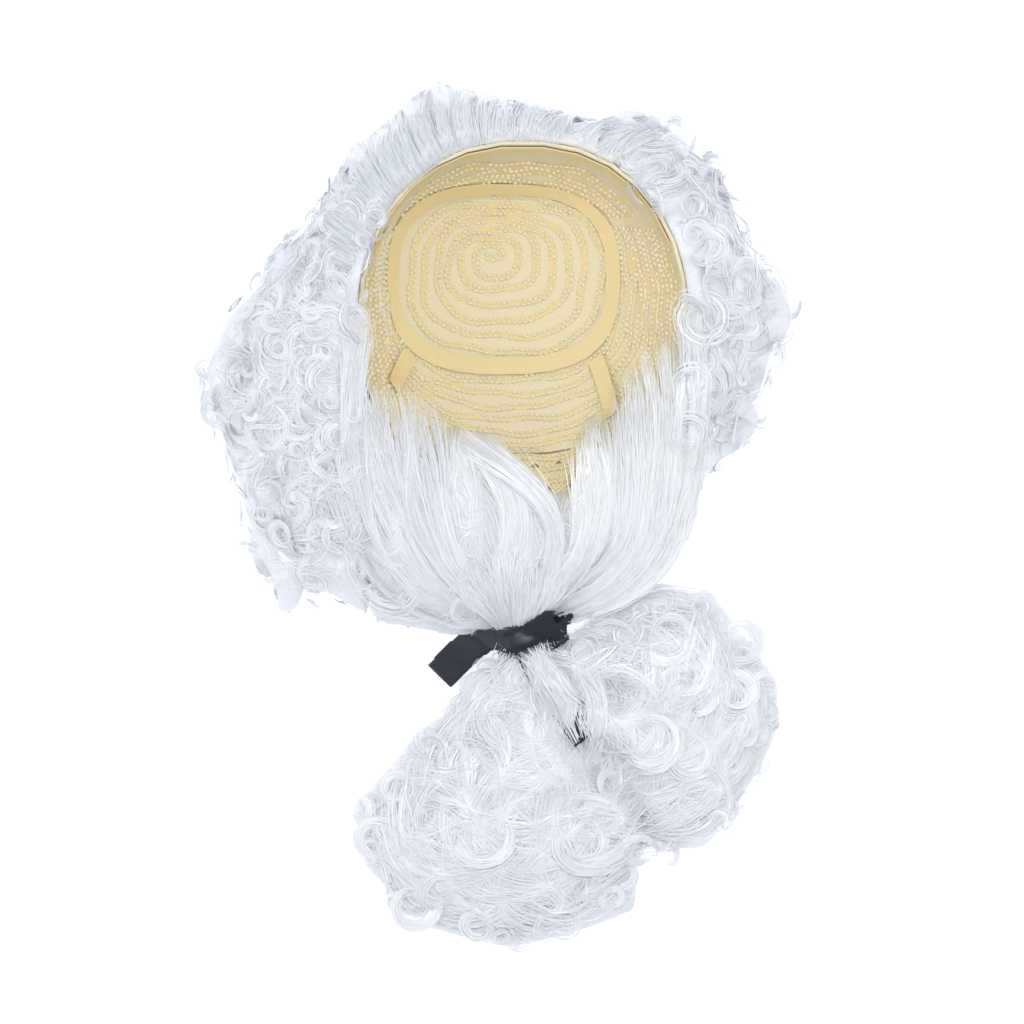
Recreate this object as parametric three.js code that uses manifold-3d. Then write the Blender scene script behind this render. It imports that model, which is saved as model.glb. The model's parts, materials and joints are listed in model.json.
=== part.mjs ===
// A powdered wig lying on its crown: the head opening looks up and the tied queue is laid out.
// Millimetres. +Z is up, +Y points to the forehead edge and the queue runs towards -Y.
// Shapes are worked out round the middle of the head opening. The finished group is then
// moved so that its origin is under the middle of the whole wig, on the floor.

import * as THREE from "three";
import { mergeVertices } from "three/addons/utils/BufferGeometryUtils.js";
import Module from "manifold-3d";

// Head opening and cap
const RIM_HALF_WIDTH = 87;
const RIM_HALF_LENGTH = 95;
const RIM_HEIGHT = 102; // forehead edge above the floor
const CROWN_LIFT = 21; // inside of the crown above the floor
const CAP_WALL = 1.5;
const CAP_SIDES = 30;

// What is sewn to the cap
const CORD_RADIUS = 1.3;
const TAPE_HALF_WIDTH = 5;
const FRONT_TAPE_HALF_WIDTH = 7;
const TAPE_THICKNESS = 0.8;
const WEFT_HALF_WIDTH = 1.3;
const WEFT_THICKNESS = 0.7;
const CROWN_WEFT_TURNS = 6;
const WALL_WEFTS = 4;
const LACE_THICKNESS = 1.2;
const LACE_HOLE_RADIUS = 2.3;
const LACE_HOLE_ROWS = 2;
const LACE_HOLE_COLUMNS = 8;

// Hair round the cap
const HAIR_DEPTH = 56; // from the rim out to the backing's outline, before the table's share
const ROLL_RISE = 7; // crest of the hair above the rim
const RIM_OVERHANG = 7; // how far the hair may lean in over the rim
const FRONT_LOCKS = 9;
const FRONT_LOCK_RISE = 6; // crest of a front lock above the parting beside it
const LOCK_RADIUS = 13;
const NAPE_LOCKS = 6;
const CURL_REACH = 17; // radius of one side curl
const CURL_THICKNESS = 5.8;

// Queue, tail and ribbon
const TIE_REACH = 171; // middle of the head opening to the tie
const QUEUE_RADIUS = 11;
const TAIL_LENGTH = 169; // tie to the tail's far end
const TAIL_HEIGHT = 34;
const RIBBON_WIDTH = 19;
const RIBBON_THICKNESS = 1.2;

// Clearances
const PIECE_GAP = 0.5; // between neighbouring pieces
const HAIR_CLEARANCE = 2; // between the cap's outside and the hair round it
const SEWN_GAP = 1.2; // between the cap's inside and what is sewn to it

// Cap sections from the crown's pole to the rim. climb is the share of the way up to the rim,
// the others are shares of the rim's half width and half length, and square is the corner power.
const CAP_SECTIONS = [
  { climb: 0.0, shiftX: -0.2, shiftY: 0.42, width: 0.04, length: 0.04, square: 2.0 },
  { climb: 0.01, shiftX: -0.19, shiftY: 0.4, width: 0.3, length: 0.21, square: 2.1 },
  { climb: 0.05, shiftX: -0.16, shiftY: 0.34, width: 0.55, length: 0.38, square: 2.4 },
  { climb: 0.16, shiftX: -0.12, shiftY: 0.26, width: 0.73, length: 0.54, square: 2.7 },
  { climb: 0.36, shiftX: -0.08, shiftY: 0.19, width: 0.85, length: 0.7, square: 2.6 },
  { climb: 0.64, shiftX: -0.03, shiftY: 0.1, width: 0.94, length: 0.85, square: 2.4 },
  { climb: 1.0, shiftX: 0.0, shiftY: 0.0, width: 1.0, length: 1.0, square: 2.2 },
];
const RIM_SECTION = CAP_SECTIONS.length - 1;

// Where things are sewn, as fractional rows of the table above
const SEWN_ROWS = { crownTape: 2.85, firstWallWeft: 3.35, lastWallWeft: 4.7, lace: 5.0 };

// Rim height round the opening, as a share of RIM_HEIGHT. The peaks at the sides are the ear tabs.
const RIM_HEIGHTS = [
  { angle: 20, height: 0.92 },
  { angle: 50, height: 0.95 },
  { angle: 90, height: 1.0 },
  { angle: 130, height: 0.96 },
  { angle: 160, height: 0.93 },
  { angle: 182, height: 0.95 },
  { angle: 215, height: 0.77 },
  { angle: 245, height: 0.63 },
  { angle: 270, height: 0.59 },
  { angle: 300, height: 0.63 },
  { angle: 332, height: 0.8 },
  { angle: 356, height: 0.94 },
];

// Outline of the hair's backing: how deep it stands outside the rim, as a share of HAIR_DEPTH.
const HAIR_OUTLINE = [
  { angle: 0, depth: 0.95 },
  { angle: 22, depth: 0.64 },
  { angle: 48, depth: 0.66 },
  { angle: 72, depth: 0.4 },
  { angle: 95, depth: 0.52 },
  { angle: 110, depth: 0.84 },
  { angle: 128, depth: 0.68 },
  { angle: 139, depth: 0.8 },
  { angle: 150, depth: 0.6 },
  { angle: 158, depth: 0.66 },
  { angle: 166, depth: 0.8 },
  { angle: 180, depth: 1.42 },
  { angle: 189, depth: 1.72 },
  { angle: 198, depth: 1.36 },
  { angle: 207, depth: 1.68 },
  { angle: 214, depth: 1.74 },
  { angle: 223, depth: 1.86 },
  { angle: 229, depth: 1.64 },
  { angle: 236, depth: 1.52 },
  { angle: 248, depth: 1.46 },
  { angle: 256, depth: 1.26 },
  { angle: 276, depth: 0.95 },
  { angle: 296, depth: 1.0 },
  { angle: 310, depth: 0.66 },
  { angle: 330, depth: 0.68 },
  { angle: 348, depth: 0.84 },
];

// Hair backing from its crest down to the floor: out is the share of the local hair depth,
// rise the share of the local crest height.
const HAIR_PROFILE = [
  { out: 0.2, rise: 1.0 },
  { out: 0.62, rise: 0.86 },
  { out: 0.93, rise: 0.54 },
  { out: 0.96, rise: 0.18 },
  { out: 0.68, rise: 0.0 },
];
const FOOT_ROW = HAIR_PROFILE.length - 1;

// Angles round the opening, in degrees: forehead locks, front tape, wefts of the walls, nape locks
const SPANS = {
  frontLocks: { from: 56, to: 146 },
  frontTape: { from: 20, to: 160 },
  wallWefts: { from: 160, to: 384 },
  napeLocks: { from: 204, to: 338 },
};

// Where the hair parts, as shares of the rim's half width and half length. Each parting starts at
// the middle of the opening, bends at the elbow and runs out past the hair at the end.
const PARTINGS = {
  frontRight: { elbowX: 0.55, elbowY: 0.85, endX: 2.0, endY: 3.0 },
  frontLeft: { elbowX: -0.8, elbowY: 0.5, endX: -3.2, endY: 2.0 },
  napeLeft: { elbowX: -1.02, elbowY: -0.3, endX: -0.88, endY: -3.0 },
  napeRight: { elbowX: 1.02, elbowY: -0.16, endX: 0.92, endY: -3.0 },
};

// Rows of side curls: row is the place down the backing's profile, from and to are angles.
const CURL_ROWS = [
  { side: "right", row: 0.45, from: 336, to: 404, count: 3, size: 1.1 },
  { side: "right", row: 1.7, from: 331, to: 409, count: 4, size: 1.1 },
  { side: "left", row: 0.4, from: 165, to: 204, count: 2, size: 1.2 },
  { side: "left", row: 1.2, from: 164, to: 222, count: 4, size: 1.2 },
  { side: "left", row: 2.1, from: 166, to: 221, count: 3, size: 1.3 },
];

// Bunches of the tail from the tie outwards. Places and half widths are shares of TAIL_LENGTH,
// height is a share of TAIL_HEIGHT.
const TAIL_BUNCHES = {
  left: [
    { x: 0.0, y: 0.02, halfWidth: 0.05, height: 0.5 },
    { x: 0.0, y: -0.12, halfWidth: 0.12, height: 0.8 },
    { x: -0.02, y: -0.29, halfWidth: 0.26, height: 0.8 },
    { x: -0.06, y: -0.46, halfWidth: 0.4, height: 0.8 },
    { x: -0.09, y: -0.66, halfWidth: 0.53, height: 0.85 },
    { x: -0.15, y: -0.82, halfWidth: 0.43, height: 0.75 },
    { x: -0.19, y: -0.97, halfWidth: 0.17, height: 0.5 },
  ],
  right: [
    { x: 0.02, y: -0.02, halfWidth: 0.05, height: 0.5 },
    { x: 0.2, y: -0.03, halfWidth: 0.1, height: 0.8 },
    { x: 0.4, y: -0.01, halfWidth: 0.19, height: 0.8 },
    { x: 0.55, y: -0.09, halfWidth: 0.27, height: 0.85 },
    { x: 0.56, y: -0.26, halfWidth: 0.28, height: 0.85 },
    { x: 0.53, y: -0.44, halfWidth: 0.23, height: 0.75 },
    { x: 0.49, y: -0.68, halfWidth: 0.11, height: 0.5 },
  ],
};

// Curls on the tail, in shares of TAIL_LENGTH from the tie. turn is where the curl begins, in degrees.
const TAIL_CURLS = [
  { x: 0.43, y: -0.32, reach: 0.13, turn: 60, hand: 1 },
  { x: 0.67, y: -0.26, reach: 0.11, turn: 130, hand: -1 },
  { x: 0.55, y: -0.02, reach: 0.12, turn: 190, hand: 1 },
  { x: 0.56, y: -0.55, reach: 0.11, turn: 80, hand: -1 },
  { x: 0.23, y: -0.64, reach: 0.14, turn: 110, hand: -1 },
  { x: -0.11, y: -0.66, reach: 0.14, turn: 95, hand: 1 },
  { x: -0.38, y: -0.8, reach: 0.11, turn: 60, hand: -1 },
  { x: -0.08, y: -0.9, reach: 0.09, turn: 80, hand: 1 },
  { x: -0.17, y: -0.38, reach: 0.11, turn: 90, hand: -1 },
];

// The line that parts the tail into its two bunches, in shares of TAIL_LENGTH from the tie.
const TAIL_PARTING = [
  { x: 0.0, y: 0.4 },
  { x: 0.0, y: -0.1 },
  { x: 0.27, y: -0.36 },
  { x: 0.42, y: -0.72 },
  { x: 0.5, y: -1.4 },
];

// Middle lines of the ribbon's loop and ends, in shares of RIBBON_WIDTH: x and y from the tie, z from
// the queue's top. lean turns the ribbon up on edge, in degrees, from the first point to the last.
const RIBBON_PATHS = {
  leftEnd: {
    lean: [0, 0],
    points: [
      { x: -0.21, y: 0.0, z: 0.26 },
      { x: -0.9, y: 0.16, z: 0.16 },
      { x: -1.74, y: -0.42, z: -0.32 },
      { x: -2.42, y: -1.12, z: -1.04 },
    ],
  },
  loop: {
    lean: [25, 25],
    points: [
      { x: 0.26, y: 0.05, z: 0.26 },
      { x: 0.72, y: 0.34, z: 0.55 },
      { x: 1.05, y: 0.5, z: 0.68 },
      { x: 1.16, y: 0.42, z: 0.42 },
      { x: 0.84, y: 0.14, z: 0.16 },
      { x: 0.3, y: -0.05, z: 0.1 },
    ],
  },
  edgeEnd: {
    lean: [20, 80],
    points: [
      { x: -0.37, y: -0.16, z: 0.1 },
      { x: -0.47, y: -0.47, z: -0.26 },
      { x: -0.42, y: -1.05, z: -0.58 },
    ],
  },
  underEnd: {
    lean: [0, 0],
    points: [
      { x: 0.16, y: -0.1, z: 0.21 },
      { x: 0.6, y: -1.0, z: 0.4 },
      { x: 1.35, y: -2.05, z: 0.42 },
      { x: 1.9, y: -2.84, z: 0.3 },
    ],
  },
};

// Sections of what is sewn inside the cap
const WEFT = {
  halfWidth: WEFT_HALF_WIDTH,
  inside: SEWN_GAP,
  thickness: WEFT_THICKNESS,
  ridge: true,
};
const TAPE = { halfWidth: TAPE_HALF_WIDTH, inside: 1.4 * SEWN_GAP, thickness: TAPE_THICKNESS };

const FULL_TURN = 360;
const SIDE_ANGLE = FULL_TURN / CAP_SIDES;
const UP = new THREE.Vector3(0, 0, 1);
const radians = THREE.MathUtils.degToRad;
const lerp = THREE.MathUtils.lerp;

const wasm = await Module();
wasm.setup();

/** Value of one column at a fractional row of a table, smooth through the rows. */
function columnAt(rows, column, at) {
  const last = rows.length - 1;
  const row = THREE.MathUtils.clamp(Math.floor(at), 0, last - 1);
  const [a, b, c, d] = [row - 1, row, row + 1, row + 2].map(
    (k) => rows[THREE.MathUtils.clamp(k, 0, last)][column],
  );
  const t = at - row;
  const slopeIn = (c - a) / 2;
  const slopeOut = (d - b) / 2;
  const swing = 2 * (b - c) + slopeIn + slopeOut;
  return b + t * (slopeIn + t * (3 * (c - b) - 2 * slopeIn - slopeOut + t * swing));
}

/** Value of one column at an angle of a table that runs once round, easing between its rows. */
function columnRound(rows, column, angle) {
  const turned = ((angle % FULL_TURN) + FULL_TURN) % FULL_TURN;
  let next = rows.findIndex((row) => row.angle > turned);
  if (next < 0) next = 0;
  const after = rows[next];
  const before = rows[(next + rows.length - 1) % rows.length];
  const span = (after.angle - before.angle + FULL_TURN) % FULL_TURN;
  const share = ((turned - before.angle + FULL_TURN) % FULL_TURN) / span;
  return lerp(before[column], after[column], THREE.MathUtils.smoothstep(share, 0, 1));
}

/** Sine or cosine pushed out towards a square corner. */
function squared(value, power) {
  return Math.sign(value) * Math.abs(value) ** (2 / power);
}

/** Solid from a closed geometry, with its faces turned to point out. */
function solidOf(geometry) {
  const plain = geometry.clone();
  plain.deleteAttribute("normal");
  plain.deleteAttribute("uv");
  const merged = mergeVertices(plain, 1e-4);
  const make = (triVerts) =>
    new wasm.Manifold(
      new wasm.Mesh({
        numProp: 3,
        vertProperties: new Float32Array(merged.attributes.position.array),
        triVerts: new Uint32Array(triVerts),
      }),
    );
  const made = make(merged.index.array);
  return made.volume() < 0 ? make([...merged.index.array].reverse()) : made;
}

/** Body lofted through rings of equal length, closed by a fan at each end or joined end to start. */
function loft(rings, joined = false) {
  const count = rings[0].length;
  const points = rings.flat();
  const index = [];
  const spans = joined ? rings.length : rings.length - 1;
  for (let r = 0; r < spans; r++) {
    const next = (r + 1) % rings.length;
    for (let i = 0; i < count; i++) {
      const j = (i + 1) % count;
      const [a, b, c, d] = [r * count + i, r * count + j, next * count + j, next * count + i];
      index.push(a, b, c, a, c, d);
    }
  }
  if (!joined) {
    for (const r of [0, rings.length - 1]) {
      const middle = new THREE.Vector3();
      rings[r].forEach((p) => middle.addScaledVector(p, 1 / count));
      points.push(middle);
      for (let i = 0; i < count; i++) {
        const edge = [r * count + i, r * count + ((i + 1) % count)];
        index.push(points.length - 1, ...(r === 0 ? edge.reverse() : edge));
      }
    }
  }
  return solidOf(new THREE.BufferGeometry().setFromPoints(points).setIndex(index));
}

/** Tapered body of oval section along a path. All arguments of a share t run from 0 to 1. */
function sweep({ at, up = () => UP, halfWidth, halfHeight, steps, sides }) {
  const rings = [];
  for (let s = 0; s <= steps; s++) {
    const t = s / steps;
    const centre = at(t);
    const along = at(Math.min(1, t + 0.01)).sub(at(Math.max(0, t - 0.01))).normalize();
    const rise = up(t).clone().addScaledVector(along, -up(t).dot(along)).normalize();
    const side = rise.clone().cross(along);
    const ring = [];
    for (let i = 0; i < sides; i++) {
      const turn = (i / sides) * 2 * Math.PI;
      ring.push(
        centre
          .clone()
          .addScaledVector(side, halfWidth(t) * Math.cos(turn))
          .addScaledVector(rise, halfHeight(t) * Math.sin(turn)),
      );
    }
    rings.push(ring);
  }
  return loft(rings);
}

/** Upright body of a plan outline between two heights. */
function prism(outline, low, high) {
  const shape = new THREE.Shape(outline.map((p) => new THREE.Vector2(p.x, p.y)));
  const body = new THREE.ExtrudeGeometry(shape, { depth: high - low, bevelEnabled: false });
  return solidOf(body.translate(0, 0, low));
}

/** The largest closed body of a solid, without crumbs left by a cut. */
function largest(solid) {
  return solid.decompose().sort((a, b) => b.volume() - a.volume())[0];
}

/** All solids of a list joined into one. */
function fuse(solids) {
  return solids.reduce((sum, solid) => sum.add(solid));
}

/** Height of the rim above the floor at an angle. */
function rimHeight(angle) {
  return RIM_HEIGHT * columnRound(RIM_HEIGHTS, "height", angle);
}

/** Point of the cap's inner face at an angle and a fractional section. */
function capFace(angle, section) {
  const value = (column) => columnAt(CAP_SECTIONS, column, section);
  const power = value("square");
  const turn = radians(angle);
  return new THREE.Vector3(
    RIM_HALF_WIDTH * (value("shiftX") + value("width") * squared(Math.cos(turn), power)),
    RIM_HALF_LENGTH * (value("shiftY") + value("length") * squared(Math.sin(turn), power)),
    CROWN_LIFT + value("climb") * (rimHeight(angle) - CROWN_LIFT),
  );
}

/** Directions at a point of a surface: round it, down its sections, and off it. */
function facing(surface, angle, row) {
  const round = surface(angle + 2, row).sub(surface(angle - 2, row)).normalize();
  const down = surface(angle, row + 0.05).sub(surface(angle, row - 0.05)).normalize();
  const off = down.clone().cross(round).normalize();
  return { round, down, off };
}

/** Point at a distance inside the cap's inner face. A negative distance lies in or behind the wall. */
function capPoint(angle, section, inside) {
  const inner = Math.min(Math.max(section, 0.05), RIM_SECTION - 0.05);
  return capFace(angle, section).addScaledVector(facing(capFace, angle, inner).off, inside);
}

/** Ring of points round the cap at one section. */
function capRing(section, inside) {
  return Array.from({ length: CAP_SIDES }, (_, i) =>
    capPoint((i * FULL_TURN) / CAP_SIDES, section, inside),
  );
}

/** Strip on the cap's inner face through stations of angle and section. A ridge has one top edge. */
function capStrip(stations, { halfWidth, inside, thickness, turned, ridge, joined }) {
  const rings = stations.map(({ angle, section }) => {
    const step = turned ? [5, 0] : [0, 0.1];
    const near = capFace(angle, section);
    const reach = near.distanceTo(capFace(angle + step[0], section + step[1]));
    const place = (share, depth) => {
      const by = (share * halfWidth) / reach;
      return capPoint(angle + by * step[0], section + by * step[1], depth);
    };
    const top = ridge ? [0] : [1, -1];
    return [
      ...[-1, 1].map((share) => place(share, inside)),
      ...top.map((share) => place(share, inside + thickness)),
    ];
  });
  return loft(rings, joined);
}

/** Stations along a line from one angle and section to another. */
function stationsBetween(from, to, count) {
  return Array.from({ length: count + 1 }, (_, i) => ({
    angle: lerp(from.angle, to.angle, i / count),
    section: lerp(from.section, to.section, i / count),
  }));
}

/** Stations at one section on the edges between the cap's facets, so that a strip runs level with them. */
function facetStations(from, to, section) {
  const first = Math.ceil(from / SIDE_ANGLE);
  const count = Math.floor(to / SIDE_ANGLE) - first + 1;
  return Array.from({ length: count }, (_, i) => ({ angle: (first + i) * SIDE_ANGLE, section }));
}

/** Nape part of the cap's wall, as a block from one depth to another. */
function napePanel(margin, deepest, shallowest) {
  const half = 34 + margin;
  const top = RIM_SECTION + 0.3 * margin;
  const bottom = SEWN_ROWS.lace - 0.04 * margin;
  const sections = [bottom, (bottom + top) / 2, top];
  const rings = stationsBetween({ angle: 270 - half }, { angle: 270 + half }, 8).map(({ angle }) => [
    ...sections.map((section) => capPoint(angle, section, deepest)),
    ...sections.toReversed().map((section) => capPoint(angle, section, shallowest)),
  ]);
  return loft(rings);
}

/** The cap: a bowl of stretch net, without the panel that the nape lace takes. */
function makeCapNet() {
  const sections = [0, 1.1, 2, 2.8, 3.6, 4.4, 5.2, RIM_SECTION];
  const outside = sections.map((section) => capRing(section, -CAP_WALL));
  const inside = sections.toReversed().map((section) => capRing(section, 0));
  return largest(loft([...outside, ...inside]).subtract(napePanel(1, -4 * CAP_WALL, 3 * CAP_WALL)));
}

/** Coarse lace that closes the cap at the nape, with its mesh cut through. */
function makeNapeLace() {
  const holes = [];
  for (let row = 0; row < LACE_HOLE_ROWS; row++) {
    const section = lerp(SEWN_ROWS.lace + 0.25, RIM_SECTION - 0.25, row / (LACE_HOLE_ROWS - 1));
    for (let column = 0; column < LACE_HOLE_COLUMNS - (row % 2); column++) {
      const share = (column + 0.5 * (row % 2)) / (LACE_HOLE_COLUMNS - 1);
      const angle = lerp(270 - 27, 270 + 27, share);
      const { round, down, off } = facing(capFace, angle, section - 0.05);
      const corners = [round, down, round.clone().negate(), down.clone().negate()];
      const ring = (depth) =>
        corners.map((corner) =>
          capFace(angle, section).addScaledVector(corner, LACE_HOLE_RADIUS).addScaledVector(off, depth),
        );
      holes.push(loft([ring(-5 * LACE_THICKNESS), ring(5 * LACE_THICKNESS)]));
    }
  }
  return napePanel(0, -LACE_THICKNESS, 0).subtract(fuse(holes));
}

/** Round cord along the edge from ear to ear. */
function makeFrontCord() {
  const stations = facetStations(-12, 192, RIM_SECTION);
  const steps = stations.length - 1;
  return sweep({
    at: (t) => {
      const angle = lerp(stations[0].angle, stations[steps].angle, t);
      const edge = capPoint(angle, RIM_SECTION, -CAP_WALL / 2);
      return edge.addScaledVector(UP, CORD_RADIUS + PIECE_GAP);
    },
    halfWidth: () => CORD_RADIUS,
    halfHeight: () => CORD_RADIUS,
    steps,
    sides: 6,
  });
}

/** Track of hair weft that spirals out from the crown's pole. */
function makeCrownWefts() {
  const perTurn = CAP_SIDES / 2;
  const start = Math.round(90 / SIDE_ANGLE) * SIDE_ANGLE;
  const stations = stationsBetween(
    { angle: start, section: 0.5 },
    { angle: start + FULL_TURN * CROWN_WEFT_TURNS, section: SEWN_ROWS.crownTape - 0.5 },
    perTurn * CROWN_WEFT_TURNS,
  );
  return capStrip(stations, WEFT);
}

/** Tracks of hair weft round the nape and sides, between the crown tape and the rim. */
function makeWallWeft(number) {
  const share = (number - 1) / (WALL_WEFTS - 1);
  const section = lerp(SEWN_ROWS.firstWallWeft, SEWN_ROWS.lastWallWeft, share);
  return capStrip(facetStations(SPANS.wallWefts.from, SPANS.wallWefts.to, section), WEFT);
}

/** Tape sewn over the seam between the crown panel and the walls. */
function makeCrownTape() {
  const stations = facetStations(0, FULL_TURN - 1, SEWN_ROWS.crownTape);
  return capStrip(stations, { ...TAPE, joined: true });
}

/** Tape sewn inside the forehead edge. */
function makeFrontTape() {
  const stations = facetStations(SPANS.frontTape.from, SPANS.frontTape.to, RIM_SECTION - 0.4);
  return capStrip(stations, { ...TAPE, halfWidth: FRONT_TAPE_HALF_WIDTH, inside: 0.6 * SEWN_GAP });
}

/** Tape that runs up the wall from the crown tape's corner, over the wall's wefts. */
function makeSideTape(low, high) {
  const inside = SEWN_GAP + WEFT_THICKNESS + 2 * PIECE_GAP;
  return capStrip(stationsBetween(low, high, 6), { ...TAPE, inside, turned: true });
}

/** Point of the hair backing's outside at an angle and a fractional row of its profile. */
function hairFace(angle, row) {
  const rim = capFace(angle, RIM_SECTION);
  const away = new THREE.Vector3(rim.x, rim.y, 0).normalize();
  const depth = HAIR_DEPTH * columnRound(HAIR_OUTLINE, "depth", angle);
  const crest = rimHeight(angle) + ROLL_RISE;
  rim.addScaledVector(away, CAP_WALL + depth * columnAt(HAIR_PROFILE, "out", row));
  return rim.setZ(Math.max(0, crest * columnAt(HAIR_PROFILE, "rise", row)));
}

/** Columns of the hair's backing: plain round the sides and nape, pleated into locks at the forehead. */
function backingColumns() {
  const { from, to } = SPANS.frontLocks;
  const plain = facetStations(to + 4, FULL_TURN + from - 4, 0).map(({ angle }) => ({
    angle,
    ridge: 0,
    sway: 0,
  }));
  const pleated = Array.from({ length: 2 * FRONT_LOCKS + 1 }, (_, i) => ({
    angle: lerp(from, to, i / (2 * FRONT_LOCKS)),
    ridge: i % 2,
    sway: 4 * Math.sin((Math.PI * i) / (2 * FRONT_LOCKS)),
  }));
  return [...pleated, ...plain];
}

/** Outside of the hair's backing as a closed body, grown by a margin. */
function hairBacking(margin = 0) {
  const columns = backingColumns();
  const ring = (row) =>
    columns.map(({ angle, ridge, sway }) => {
      const place = angle + sway * Math.sin(row);
      const rise = row === 0 || row === FOOT_ROW ? 0 : ridge * FRONT_LOCK_RISE;
      const point = hairFace(place, row);
      const off = facing(hairFace, place, Math.max(row, 0.1)).off.negate();
      const away = new THREE.Vector3(point.x, point.y, 0).normalize();
      return point.addScaledVector(off, rise).addScaledVector(away, margin);
    });
  return loft(HAIR_PROFILE.map((_, row) => ring(FOOT_ROW - row)));
}

/** Everything the hair keeps clear of: the cap, the piping and the way into the opening. */
function openingCore() {
  const sections = [0.3, 1.1, 2, 3, 4.2, 5.2, RIM_SECTION];
  const behind = -(CAP_WALL + HAIR_CLEARANCE);
  const cordTop = 2 * CORD_RADIUS + 2 * PIECE_GAP;
  const lifted = (inside, lift) =>
    capRing(RIM_SECTION, inside).map((point) => point.addScaledVector(UP, lift));
  return loft([
    ...sections.map((section) => capRing(section, behind)),
    lifted(behind, cordTop),
    lifted(RIM_OVERHANG, cordTop + 1),
    lifted(RIM_OVERHANG, RIM_HEIGHT),
  ]);
}

/** Curl that lies on a surface: a coil of almost a turn, thick near its start and thin at its end. */
function curl({ centre, across, along, off, reach, thickness, turn, hand }) {
  const winding = (t) => radians(turn + hand * 330 * t);
  const body = (t) => thickness * (0.45 + 0.75 * Math.sin(Math.PI * Math.min(1, 0.2 + t)) ** 0.8);
  return sweep({
    at: (t) =>
      centre
        .clone()
        .addScaledVector(across, reach * (1 - 0.5 * t) * Math.cos(winding(t)))
        .addScaledVector(along, reach * (1 - 0.5 * t) * Math.sin(winding(t)))
        .addScaledVector(off, thickness * (0.2 + 0.5 * t)),
    up: () => off,
    halfWidth: body,
    halfHeight: (t) => 1.2 * body(t),
    steps: 8,
    sides: 4,
  });
}

/** All side curls of one side. */
function sideCurls(side) {
  return CURL_ROWS.filter((set) => set.side === side).flatMap((set, order) =>
    Array.from({ length: set.count }, (_, i) => {
      const angle = lerp(set.from, set.to, (i + 0.25 * (order % 2)) / (set.count - 1));
      const { round, down, off } = facing(hairFace, angle, Math.max(set.row, 0.1));
      return curl({
        centre: hairFace(angle, set.row),
        across: round,
        along: down,
        off: off.negate(),
        reach: CURL_REACH * set.size,
        thickness: CURL_THICKNESS * set.size,
        turn: 137 * i + 50 * order,
        hand: (i + order) % 2 ? 1 : -1,
      });
    }),
  );
}

/** The point where the ribbon ties the queue. */
function tiePoint() {
  return new THREE.Vector3(0, -TIE_REACH, QUEUE_RADIUS + RIBBON_THICKNESS + 2 * PIECE_GAP);
}

/** Lock combed from the nape edge down to the tie. */
function napeLock(number) {
  const share = number / (NAPE_LOCKS - 1);
  const angle = lerp(SPANS.napeLocks.from, SPANS.napeLocks.to, share);
  const spread = lerp(-1, 1, share);
  const towards = (by, row) => hairFace(lerp(angle, 270, by) + 4 * Math.sin(2 * number), row);
  const start = capFace(angle, RIM_SECTION).addScaledVector(UP, ROLL_RISE);
  const end = tiePoint().add(new THREE.Vector3(6 * spread, 0.04 * TIE_REACH, 0));
  const path = new THREE.CatmullRomCurve3([
    start,
    towards(0.05, 0.4),
    towards(0.25, 1.1),
    towards(0.5, 1.7),
    towards(0.8, 2.3),
    end,
  ]);
  return sweep({
    at: (t) => path.getPoint(t),
    halfWidth: (t) => LOCK_RADIUS * (0.7 + 0.5 * Math.sin(Math.PI * t) - 0.2 * t),
    halfHeight: (t) => LOCK_RADIUS * (0.4 + 0.2 * Math.sin(Math.PI * t)),
    steps: 6,
    sides: 4,
  });
}

/** Tuft that the nape hair gathers into before the ribbon. */
function queueTuft() {
  const tie = tiePoint();
  return sweep({
    at: (t) => tie.clone().add(new THREE.Vector3(0, lerp(0.36, 0, t) * TIE_REACH, 14 * (1 - t))),
    halfWidth: (t) => QUEUE_RADIUS * lerp(3.6, 1, t ** 0.6),
    halfHeight: (t) => QUEUE_RADIUS * lerp(1.6, 1, t),
    steps: 4,
    sides: 10,
  });
}

/** Thin upright walls along the partings, which leave the gap between the hair's pieces. */
function partingWalls(lines, gap) {
  const halfGap = gap / 2;
  return fuse(
    lines.flatMap((line) =>
      line.slice(1).map((end, i) => {
        const start = line[i];
        const along = end.clone().sub(start).normalize();
        const side = new THREE.Vector2(-along.y, along.x).multiplyScalar(halfGap);
        const from = start.clone().addScaledVector(along, -halfGap);
        const to = end.clone().addScaledVector(along, halfGap);
        const corners = [
          from.clone().sub(side),
          to.clone().sub(side),
          to.clone().add(side),
          from.clone().add(side),
        ];
        return prism(corners, -1, 3 * RIM_HEIGHT);
      }),
    ),
  );
}

/** Plan points of one parting, from the middle of the opening outwards. */
function partingLine({ elbowX, elbowY, endX, endY }) {
  return [
    new THREE.Vector2(0, 0),
    new THREE.Vector2(elbowX * RIM_HALF_WIDTH, elbowY * RIM_HALF_LENGTH),
    new THREE.Vector2(endX * RIM_HALF_WIDTH, endY * RIM_HALF_LENGTH),
  ];
}

/** Plan outline between two partings, closed far outside the hair through some corners. */
function between(first, second, corners) {
  return [...partingLine(first), ...corners, ...partingLine(second).toReversed().slice(0, 2)];
}

/** Round pad of hair under the crown, as a body grown by a margin. */
function crownPad(margin) {
  const ring = (height) =>
    Array.from({ length: 18 }, (_, i) => {
      const point = capFace((i * FULL_TURN) / 18, 2.2);
      const middle = capFace(0, 0).add(capFace(180, 0)).divideScalar(2);
      const away = point.clone().sub(middle).setZ(0).normalize();
      return point.addScaledVector(away, margin).setZ(height);
    });
  return loft([ring(-1), ring(CROWN_LIFT + 20)]);
}

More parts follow.
